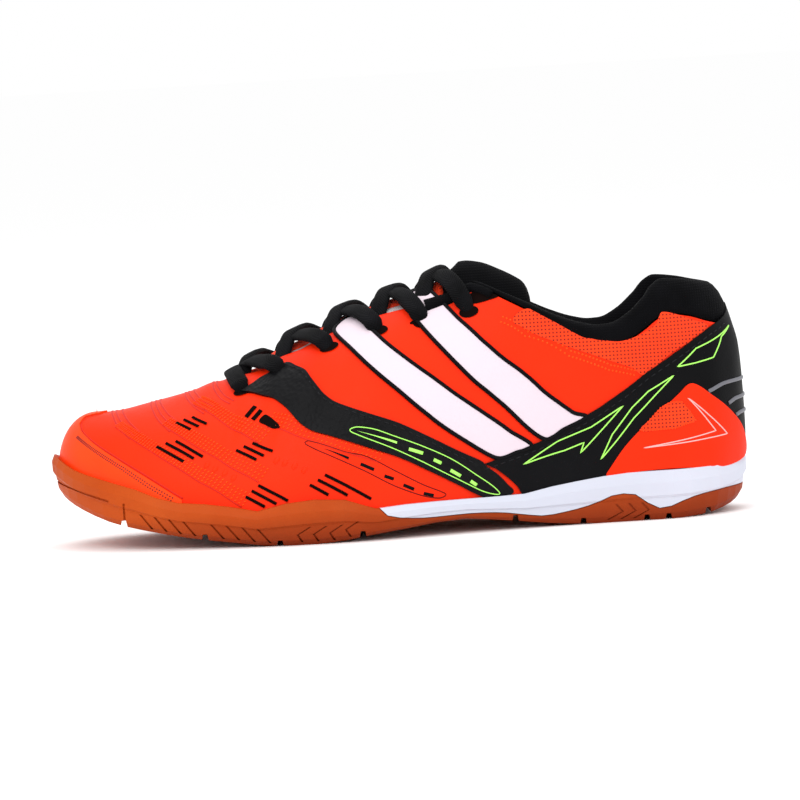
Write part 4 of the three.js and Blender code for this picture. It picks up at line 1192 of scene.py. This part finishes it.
TONGUE_END = 0.7
TONGUE_SPLIT = 0.575
TONGUE_ROWS = 44
TONGUE_COLUMNS = 22
TONGUE_THICKNESS = 4
TONGUE_PAD = 3.5
BODY_SWELL = 1.4
TOP_SWELL = 1.6
TONGUE_FREE = 0.6
STEEPEST = 0.42
TONGUE = (
    # along, crest, half, pad
    (0.252, 0.0, 0.17, 0.0),
    (0.3, 0.0, 0.2, 0.0),
    (0.4, 0.0, 0.23, 0.05),
    (0.5, 0.0, 0.235, 0.2),
    (0.56, 0.0, 0.205, 0.5),
    (0.59, 0.012, 0.165, 0.9),
    (0.61, 0.02, 0.142, 1.0),
    (0.63, 0.012, 0.132, 1.0),
    (0.66, -0.022, 0.127, 1.0),
    (0.685, -0.06, 0.12, 0.9),
    (0.7, -0.092, 0.1, 0.7),
)
tongue_crest = curve(TONGUE, 0, 1)
tongue_half = curve(TONGUE, 0, 2)
tongue_pad = curve(TONGUE, 0, 3)


def tongue_height(x, y):
    held = min(x, LENGTH * TONGUE_FREE)
    under = (UPPER_WALL + TONGUE_CLEARANCE) / max(STEEPEST, face_normal(held, y).z)
    away = (y - ridge_middle(held)) / (throat_half(held) + 0.1)
    opened = min(1, max(0, (x / LENGTH - 0.285) / 0.04))
    swell = (under - 1.2) * opened * math.cos(away * math.pi / 2) ** 2 if abs(away) < 1 else 0
    return last_top(held, y) - under + swell + INSTEP_HEIGHT * tongue_crest(x / LENGTH)


def tongue_shape(first, last, swell):
    """The tongue between two shares of the length, its top raised by its padding."""
    shape = Shape()
    rows, columns = TONGUE_ROWS, TONGUE_COLUMNS
    count = columns + 1
    top, bottom = [], []
    for i in range(rows + 1):
        x = LENGTH * (first + (last - first) * i / rows)
        half = BALL_WIDTH * tongue_half(x / LENGTH)
        for j in range(count):
            t = 2 * j / columns - 1
            y = ridge_middle(min(x, LENGTH * TONGUE_FREE)) + half * t
            z = tongue_height(x, y)
            thick = TONGUE_THICKNESS + TONGUE_PAD * tongue_pad(x / LENGTH)
            ends = min(1.0, (LENGTH * last - x) / 3.2 + 0.02)
            edge = max(0.0, 1 - abs(t) ** 6) ** 0.5 * max(0.0, 1 - (1 - ends) ** 2) ** 0.5
            mid = z - thick / 2
            top.append(Vector((x, y, mid + (thick / 2 + swell) * edge)))
            bottom.append(Vector((x, y, mid - thick / 2 * edge)))
    faces = []
    n = len(top)
    for i in range(rows):
        for j in range(columns):
            a = i * count + j
            faces.append((a, a + count, a + count + 1, a + 1))
            faces.append((n + a, n + a + 1, n + a + count + 1, n + a + count))
    ring = [j for j in range(count)] + [i * count + columns for i in range(1, rows + 1)]
    ring += [rows * count + j for j in reversed(range(columns))]
    ring += [i * count for i in reversed(range(1, rows))]
    for i, a in enumerate(ring):
        b = ring[(i + 1) % len(ring)]
        faces.append((a, b, n + b, n + a))
    shape.add(top + bottom, faces)
    return shape


LACE_WIDTH = 7.6
LACE_THICKNESS = 2.7


def eyelet_place(row, side):
    along, inset = EYELETS[row]
    x = LENGTH * along
    y = ridge_middle(x) + side * (throat_half(x) + EYELET_INSET * inset)
    return Vector((x, y, last_top(x, y)))


def lace_path(points):
    """A smooth path on the shoe's top: each point gives x, y and a height over what lies there."""
    flat = resample([(p[0], p[1]) for p in points], 1.0)
    walked = [0.0]
    for a, b in zip(points, points[1:]):
        walked.append(walked[-1] + math.hypot(b[0] - a[0], b[1] - a[1]))
    lift = curve([(w, p[2]) for w, p in zip(walked, points)])
    path, normals = [], []
    at = 0.0
    scale = walked[-1] / max(1e-6, sum((b - a).length for a, b in zip(flat, flat[1:])))
    for i, p in enumerate(flat):
        if i:
            at += (p - flat[i - 1]).length * scale
        normal = face_normal(p.x, p.y)
        base = max(last_top(p.x, p.y), tongue_height(p.x, p.y))
        path.append(Vector((p.x, p.y, base)) + normal * lift(at))
        normals.append(normal)
    return path, normals


def lace_strip(shape, path, normals):
    """A flat round-edged strip, pinched where it enters its holes."""
    section = []
    for k in range(16):
        t = 2 * math.pi * k / 16
        c, s = math.cos(t), math.sin(t)
        section.append((abs(c) ** 0.55 * math.copysign(1, c) / 2, abs(s) ** 0.8 * math.copysign(1, s) / 2))
    count = len(path)
    points, uvs = [], []
    walked = 0.0
    for i, p in enumerate(path):
        if i:
            walked += (p - path[i - 1]).length
        run = (path[min(i + 1, count - 1)] - path[max(i - 1, 0)]).normalized()
        across = normals[i].cross(run).normalized()
        up = run.cross(across)
        pinch = min(1.0, 0.5 + 0.17 * min(i, count - 1 - i))
        for a, b in section:
            points.append(p + across * (a * LACE_WIDTH * pinch) + up * (b * LACE_THICKNESS / pinch ** 0.5))
            uvs.append((walked, a * LACE_WIDTH))
    k = len(section)
    faces = []
    for i in range(count - 1):
        for j in range(k):
            a, b = i * k + j, i * k + (j + 1) % k
            faces.append((a, b, b + k, a + k))
    faces += [tuple(reversed(range(k))), tuple(range((count - 1) * k, count * k))]
    shape.add(points, faces, uvs)


LACE_HIGH = 2.05
LACE_SUNK = -2.6
LACE_HUMPS = ((1, 2.6), (-1, 0.9))
BAR_BOW = 3
RUN_AHEAD = 1.5
RUN_ASIDE = 1.0
LACE_RUN = (
    # share of the way, height of the lace's middle, share of the hump
    (0.0, -2.6, 0),
    (0.08, -1.0, 0),
    (0.2, 1.65, 0),
    (0.42, 2.05, 1),
    (0.6, 2.05, 1),
    (0.8, 2.95, 0),
    (0.92, 2.35, 0),
    (1.0, -2.2, 0),
)


def lace_shape():
    """A bar across the lowest row, then a crossing between each two rows."""
    shape = Shape()
    first = [eyelet_place(0, side) for side in (-1, 1)]
    bar = []
    for t in (0.0, 0.06, 0.2, 0.5, 0.8, 0.94, 1.0):
        p = first[0].lerp(first[1], t)
        bar.append((p.x - BAR_BOW * math.sin(math.pi * t), p.y, LACE_SUNK if t in (0.0, 1.0) else LACE_HIGH))
    lace_strip(shape, *lace_path(bar))
    for row in range(len(EYELETS) - 1):
        for side, hump in LACE_HUMPS:
            end = eyelet_place(row + 1, side)
            x = LENGTH * EYELETS[row][0]
            start = Vector((x - RUN_AHEAD, ridge_middle(x) - side * (throat_half(x) + RUN_ASIDE), 0))
            run = []
            for t, height, share in LACE_RUN:
                p = start.lerp(end, t)
                run.append((p.x, p.y, height + share * hump))
            lace_strip(shape, *lace_path(run))
    return shape


HOLE_LONG = 4.1
HOLE_SHORT = 2.6
HOLE_LIFT = 0.35


def eyelet_holes():
    """Painted shade in the holes that the lace goes down through: dark discs on the leather."""
    shape = Shape()
    for row in range(len(EYELETS)):
        for side in (-1, 1):
            place = eyelet_place(row, side)
            normal = face_normal(place.x, place.y)
            run = (Vector((1, 0, 0)) - normal * normal.x).normalized()
            across = normal.cross(run)
            points = [place + normal * HOLE_LIFT]
            for k in range(16):
                t = math.pi * k / 8
                rim = run * (HOLE_LONG * math.cos(t)) + across * (HOLE_SHORT * math.sin(t))
                points.append(place + rim + normal * HOLE_LIFT)
            shape.add(points, [(0, 1 + k, 1 + (k + 1) % 16) for k in range(16)])
    return shape


BINDING_START = 0.3
BINDING_RUN = 0.265
BINDING_ASIDE = 0.74
BINDING_LIFT = 1.3


def tongue_binding():
    """Pale strips along the tongue, to each side of its crest."""
    shape = Shape()
    for side in (-1, 1):
        path, normals = [], []
        for i in range(60):
            x = LENGTH * (BINDING_START + BINDING_RUN * i / 59)
            y = ridge_middle(x) + side * throat_half(x) * BINDING_ASIDE
            path.append(Vector((x, y, tongue_height(x, y) + BINDING_LIFT)))
            normals.append(face_normal(x, y))
        shape.strip(path, normals, 5.2, 0.8)
    return shape


CUFF_START = 0.585
CUFF_RUN = 0.09
CUFF_INSET = 3.4
CUFF_NARROWS = 1.9


def cuff_binding():
    """The padded black edge between the top eyelets and the collar."""
    shape = Shape()
    for sign in (1, -1):
        path, normals = [], []
        for i in range(50):
            along = CUFF_START + CUFF_RUN * i / 49
            u = math.acos(1 - 2 * along) / math.pi
            v = math.asin(min(1.0, upper_edge(along))) * 2 / math.pi
            v -= (CUFF_INSET - CUFF_NARROWS * i / 49) / V_SPAN
            path.append(on_skin((sign * u * U_SPAN, v * V_SPAN), 0.1))
            normals.append(skin_normal(sign * u, v))
        shape.strip(path, normals, 7.2, 1.7, end_width=3.4)
    return shape


# Operators
class ShoeSettings(bpy.types.PropertyGroup):
    """What a user would change."""

    orange: bpy.props.FloatVectorProperty(
        name="Upper", description="Colour of the upper", subtype="COLOR", size=3,
        min=0, max=1, default=COLOURS["orange"])
    green: bpy.props.FloatVectorProperty(
        name="Outlines", description="Colour of the printed outlines", subtype="COLOR", size=3,
        min=0, max=1, default=COLOURS["green"])
    gum: bpy.props.FloatVectorProperty(
        name="Outsole", description="Colour of the rubber", subtype="COLOR", size=3,
        min=0, max=1, default=COLOURS["gum"])
    overlay: bpy.props.FloatProperty(
        name="Overlay", description="How far the overlays stand out of the upper", default=0.0009,
        min=0.0003, max=0.002, unit="LENGTH", precision=4)
    outline_width: bpy.props.FloatProperty(
        name="Outline width", description="Width of the printed outlines", default=0.00045,
        min=0.0002, max=0.003, unit="LENGTH", precision=4)


MATERIALS = {}


def settings():
    return bpy.context.scene.shoe_settings


LIGHTS = (
    # name, place, size, power
    ("key", (-0.55, -1.25, 1.25), 1.1, 9),
    ("fill", (0.9, -1.2, 0.7), 1.2, 5),
    ("top", (0.0, 0.25, 1.5), 1.2, 7),
)
FLOOR_HALF = 60.0


class SHOE_OT_stage(bpy.types.Operator):
    """Floor, lights and camera"""

    bl_idname = "shoe.stage"
    bl_label = "Stage"

    def execute(self, context):
        COLOURS["orange"] = tuple(settings().orange)
        COLOURS["green"] = tuple(settings().green)
        COLOURS["gum"] = tuple(settings().gum)
        MATERIALS.clear()
        MATERIALS.update(make_materials())
        context.scene.view_settings.view_transform = "Standard"
        floor_paint = Paint("pale_floor", (0.99, 0.99, 0.99), 0.9, Specular_IOR_Level=0.0)
        floor_paint.noise_bump(8.0, 0.02, 0.001)
        verts = [(FLOOR_HALF * x, FLOOR_HALF * y, 0) for x, y in ((-1, -1), (1, -1), (1, 1), (-1, 1))]
        floor = mesh_object("floor", verts, [(0, 1, 2, 3)], floor_paint.material, smooth=False)
        world = bpy.data.worlds.new("studio")
        context.scene.world = world
        world.use_nodes = True
        background = world.node_tree.nodes["Background"]
        background.inputs["Color"].default_value = (1, 1, 1, 1)
        background.inputs["Strength"].default_value = 1.0
        for row in LIGHTS:
            add_light(*row)
        camera_data = bpy.data.cameras.new("camera")
        camera = bpy.data.objects.new("camera", camera_data)
        context.collection.objects.link(camera)
        camera_data.sensor_width = SENSOR
        camera_data.lens = SENSOR * CAMERA_DISTANCE / (FRAME_PIXELS * PIXEL)
        camera_data.clip_start = 0.1
        rotation = Matrix((RIGHT, UP, -LOOK)).transposed().to_4x4()
        camera.matrix_world = Matrix.Translation(EYE * MM) @ rotation
        context.scene.camera = camera
        return {"FINISHED"}


def add_light(name, place, size, power):
    data = bpy.data.lights.new(name, "AREA")
    data.size = size
    data.energy = power
    light = bpy.data.objects.new(name, data)
    light.location = place
    aim = Vector((0, 0, 0.04)) - Vector(place)
    light.rotation_mode = "QUATERNION"
    light.rotation_quaternion = aim.to_track_quat("-Z", "Y")
    bpy.context.collection.objects.link(light)


class SHOE_OT_sole(bpy.types.Operator):
    """Rubber outsole, foam midsole and insole"""

    bl_idname = "shoe.sole"
    bl_label = "Sole"

    def execute(self, context):
        for node, paint in (("outsole", "gum"), ("midsole", "foam"), ("insole", "insole")):
            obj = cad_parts[node]
            obj.data.materials.clear()
            obj.data.materials.append(MATERIALS[paint])
            for polygon in obj.data.polygons:
                polygon.use_smooth = True
            smooth_by_angle(obj, 32)
        return {"FINISHED"}


def smooth_by_angle(obj, degrees):
    obj.data.set_sharp_from_angle(angle=math.radians(degrees))


class SHOE_OT_upper(bpy.types.Operator):
    """The lasted upper with its creases"""

    bl_idname = "shoe.upper"
    bl_label = "Upper"

    def execute(self, context):
        shell = upper_shell().build("upper_leather", MATERIALS["orange"], ("upper",), "upper")
        join_doubles(shell)
        return {"FINISHED"}


# How far pieces stand over the leather or over the black overlays, in millimetres or as a share of
# an overlay's height.
CAP_SHARE = 0.5
BAND_SHARE = 0.75
PIPING_SHARE = 0.6
HEEL_PANEL_LIFT = 0.6
HEEL_BEAD_LIFT = 0.75
HEEL_PATCH_LIFT = 0.8
MESH_LIFT = 0.35
SLIT_LIFT = 0.45
BAR_LIFT = 0.25
SLOT_LIFT = 0.5
PRESSED_LIFT = 0.05

# Lowest edges, seams and piping on the unfolded upper, in millimetres.
CAP_FOOT = 4.0
SADDLE_FOOT = 7.0
SADDLE_RISE = 3.0
ROAD_SEAM = 1.5
SADDLE_SEAM = 1.6
PIPING_WIDTH = 1.7
PIPING_HEIGHT = 0.7
DASH_WIDTH = 1.4
DASH_ROWS = (0.0, 1.9, 3.8, 5.7)
PINHOLE_GAP = 1.7
PINHOLE_ROWS = 2.0


class SHOE_OT_overlays(bpy.types.Operator):
    """Toe cap, black overlays, white bands and mesh insert"""

    bl_idname = "shoe.overlays"
    bl_label = "Overlays"

    def execute(self, context):
        lift = settings().overlay / MM + GAP
        cap = Shape()
        edge = traced(TOE_CAP_EDGE)
        outline = [(0.0, V_SPAN), (edge[0][0], V_SPAN), *edge, (edge[-1][0], CAP_FOOT), (0.0, CAP_FOOT)]
        cap.patch(outline, lift * CAP_SHARE, closed_smooth=False)
        cap.patch(on_side(-1, reversed(outline)), lift * CAP_SHARE, closed_smooth=False)
        cap.build("toe_cap_skin", MATERIALS["toe"], ("toe_cap",), "toe_cap")

        road = traced(ROAD_TOP + ROAD_END + ROAD_BOTTOM + ROAD_FRONT)
        for name, node, outline in (
            ("eyestay_band_outer", "eyestay_panel_outer", road),
            ("eyestay_band_inner", "eyestay_panel_inner", on_side(-1, road)),
        ):
            band = Shape()
            band.patch(outline, lift)
            band.build(name, MATERIALS["scaled"], (node,), node)

        top, front = traced(SADDLE_TOP), traced(SADDLE_FRONT)
        heel_top = [(U_SPAN, top[-1][1] + SADDLE_RISE)]
        around = [(2 * U_SPAN - a, b) for a, b in reversed(front + top)]
        base = [(U_SPAN * share, SADDLE_FOOT) for share in (1.15, 1.0, 0.85)]
        saddle = Shape()
        saddle.patch(top + heel_top + around + base + front, lift, closed_smooth=False)
        saddle.build("heel_saddle_skin", MATERIALS["black"], ("heel_saddle",), "heel_saddle")

        panels, patches, mesh, beads = (Shape() for _ in range(4))
        heel = traced(HEEL_PANEL_TOP + HEEL_PANEL_BACK)
        patch_edge = traced(HEEL_PATCH)
        insert = traced(MESH_INSERT)
        for side in (1, -1):
            panels.patch(on_side(side, heel), lift + HEEL_PANEL_LIFT)
            patches.patch(on_side(side, patch_edge), lift + HEEL_PATCH_LIFT)
            patch_ring = on_side(side, patch_edge + patch_edge[:1])
            beads.dots(patch_ring, 0.42, 1.7, lift + HEEL_BEAD_LIFT, dome=0.3)
            mesh.patch(on_side(side, insert), MESH_LIFT)
            for row in MESH_DOTS:
                beads.dots(on_side(side, traced(row)), 0.5, 1.9, 0.0, dome=0.35)
        panels.build("heel_panels", MATERIALS["orange"], (), "upper")
        patches.build("heel_mesh_patches", MATERIALS["mesh"], (), "upper")
        mesh.build("collar_mesh", MATERIALS["mesh"], (), "upper")
        beads.build("raised_dots", MATERIALS["toe"], (), "upper")

        bands, piping = Shape(), Shape()
        for pixels in WHITE_BANDS:
            line = traced(pixels)
            for side in (1, -1):
                bands.patch(on_side(side, line), lift * BAND_SHARE)
                rim = on_side(side, line)
                piping.ribbon(rim, PIPING_WIDTH, PIPING_HEIGHT, lift * PIPING_SHARE, closed=True)
        bands.build("white_bands", MATERIALS["white"], (), "upper")
        piping.build("band_piping", MATERIALS["black"], (), "heel_saddle")
        seams = Shape()
        for pixels, inset in ((ROAD_TOP, ROAD_SEAM), (SADDLE_TOP, SADDLE_SEAM)):
            row = offset_line(traced(pixels), -inset)
            for side in (1, -1):
                seams.stitches(on_side(side, row), lift, 0.5, 0.3)
        seams.build("overlay_stitches", MATERIALS["thread"], (), "heel_saddle")
        return {"FINISHED"}


class SHOE_OT_trim(bpy.types.Operator):
    """Printed outlines, slits, dashes and pinholes"""

    bl_idname = "shoe.trim"
    bl_label = "Trim"

    def execute(self, context):
        lift = settings().overlay / MM + GAP
        width = settings().outline_width / MM
        green, red, slits, pale, holes, pressed_shade, ribs, ovals, relief, black = (Shape() for _ in range(10))
        for side in (1, -1):
            def at(pixels):
                return on_side(side, traced(pixels))

            green.ribbon(at(GREEN_SLOT), width, 0.25, lift, closed=True)
            green.patch(at(GREEN_WEDGE), lift + 0.2, closed_smooth=False, edge=0.6)
            for dash in GREEN_DASHES:
                green.ribbon(at(dash), DASH_WIDTH, 0.25, lift, smooth=False)
            for dart in GREEN_DARTS:
                green.ribbon(at(dart), width * 1.3, 0.25, lift, closed=True, smooth=False)
            red.ribbon(at(RED_SLOT), width, 0.2, 0.0, closed=True)
            black.patch(at(RED_WEDGE), 0.25, closed_smooth=False, edge=0.6)
            for dash in RED_DASHES:
                black.ribbon(at(dash), DASH_WIDTH, 0.25, 0.0, smooth=False)
            pale.ribbon(at(CHEVRON), 0.5, 0.25, lift + HEEL_PANEL_LIFT, closed=True, smooth=False)
            # Slits and bars: dark ribbons, painted shade in the cuts.
            for slit in SLITS:
                slits.ribbon(at(slit), 1.25, 0.15, SLIT_LIFT, smooth=False)
            for bar in LACE_BARS:
                slits.ribbon(at(bar), 2.0, 0.15, BAR_LIFT, smooth=False)
            for place in (p for row in OVAL_ROWS for p in at(row)):
                ovals.dot(place, 1.1, -0.05, 14, dome=0.5, stretch=1.75, angle=side * 0.9)
            # Pressed lines here and beside the dash bands: dark ribbons of painted shade in the grooves.
            for line in PRESSED_LINES:
                pressed_shade.ribbon(at(line), 0.9, 0.12, PRESSED_LIFT)
            for band in DASH_BANDS:
                line = at(band)
                for inset in DASH_ROWS:
                    relief.dots(offset_line(line, side * inset), 0.34, 2.1, 0.0, 6, 0.5, 2.2, side * 0.5)
                pressed_shade.ribbon(offset_line(line, side * -1.2), 0.6, 0.12, PRESSED_LIFT)
            # A dark ribbon beside the toe cap's edge: painted shade in its groove.
            pressed_shade.ribbon(offset_line(at(TOE_CAP_EDGE), side * 1.0), 0.8, 0.12, PRESSED_LIFT)
            # Pinholes: dark dots of painted shade in the toe cap's perforations.
            pins = traced(TOE_PINHOLES)
            for line in (pins, offset_line(pins, -PINHOLE_ROWS)):
                for a, b in resample(line, PINHOLE_GAP, smooth=False):
                    holes.dot((side * a, b), 0.36, lift * CAP_SHARE + 0.06, 8)
            for rib in GREY_RIBS:
                ribs.ribbon(at(rib), 1.6, 0.6, lift)
            # Lace slots: dark patches, painted shade in the openings.
            for slot in LACE_SLOTS:
                slits.patch(at(slot), SLOT_LIFT, edge=1.0)
        for shape, name, paint, slot in (
            (green, "green_outlines", "green", "upper"),
            (red, "red_outlines", "dark_red", "upper"),
            (slits, "vamp_slits", "hole_shade", "upper"),
            (pale, "pale_outlines", "pink", "upper"),
            (holes, "toe_pinholes", "pinhole_shade", "toe_cap"),
            (pressed_shade, "pressed_line_shades", "pressed_shade", "upper"),
            (ribs, "heel_ribs", "grey", "heel_saddle"),
            (ovals, "vamp_ovals", "orange", "upper"),
            (relief, "vamp_relief", "toe", "upper"),
            (black, "black_slots", "black", "heel_saddle"),
        ):
            shape.build(name, MATERIALS[paint], (), slot)
        return {"FINISHED"}


class SHOE_OT_collar(bpy.types.Operator):
    """Padded collar and tongue"""

    bl_idname = "shoe.collar"
    bl_label = "Collar and tongue"

    def execute(self, context):
        collar = collar_shape().build("collar_padding", MATERIALS["knit"], ("collar",), "collar")
        split = TONGUE_SPLIT
        lower = tongue_shape(TONGUE[0][0], split + 0.004, BODY_SWELL)
        lower = lower.build("tongue_body", MATERIALS["tongue"], ("tongue",), "tongue")
        upper = tongue_shape(split, TONGUE_END, TOP_SWELL)
        upper = upper.build("tongue_top", MATERIALS["knit"], ("tongue",), "tongue")
        tongue_binding().build("tongue_binding", MATERIALS["strip"], (), "tongue")
        cuff_binding().build("cuff_binding", MATERIALS["knit"], (), "collar")
        return {"FINISHED"}


class SHOE_OT_lace(bpy.types.Operator):
    """The criss-cross lace"""

    bl_idname = "shoe.lace"
    bl_label = "Lace"

    def execute(self, context):
        lace_shape().build("lace_weave", MATERIALS["lace"], ("lace",), "lace")
        # Eyelet holes: dark discs of painted shade.
        eyelet_holes().build("eyelet_holes", MATERIALS["hole_shade"], (), "upper")
        return {"FINISHED"}


class SHOE_PT_panel(bpy.types.Panel):
    """Sizes and colours of the shoe"""

    bl_idname = "SHOE_PT_panel"
    bl_label = "Indoor court shoe"
    bl_space_type = "VIEW_3D"
    bl_region_type = "UI"
    bl_category = "Shoe"

    def draw(self, context):
        group = context.scene.shoe_settings
        for name in ("orange", "green", "gum", "overlay", "outline_width"):
            self.layout.prop(group, name)
        for operator in OPERATORS:
            self.layout.operator(operator.bl_idname)


OPERATORS = (
    SHOE_OT_stage, SHOE_OT_sole, SHOE_OT_upper, SHOE_OT_overlays, SHOE_OT_trim, SHOE_OT_collar, SHOE_OT_lace,
)
CLASSES = (ShoeSettings, *OPERATORS, SHOE_PT_panel)


def register():
    for cls in CLASSES:
        bpy.utils.register_class(cls)
    bpy.types.Scene.shoe_settings = bpy.props.PointerProperty(type=ShoeSettings)


def unregister():
    del bpy.types.Scene.shoe_settings
    for cls in reversed(CLASSES):
        bpy.utils.unregister_class(cls)


def main():
    register()
    bpy.ops.shoe.stage()
    bpy.ops.shoe.sole()
    bpy.ops.shoe.upper()
    bpy.ops.shoe.overlays()
    bpy.ops.shoe.trim()
    bpy.ops.shoe.collar()
    bpy.ops.shoe.lace()


if __name__ == "__main__":
    main()
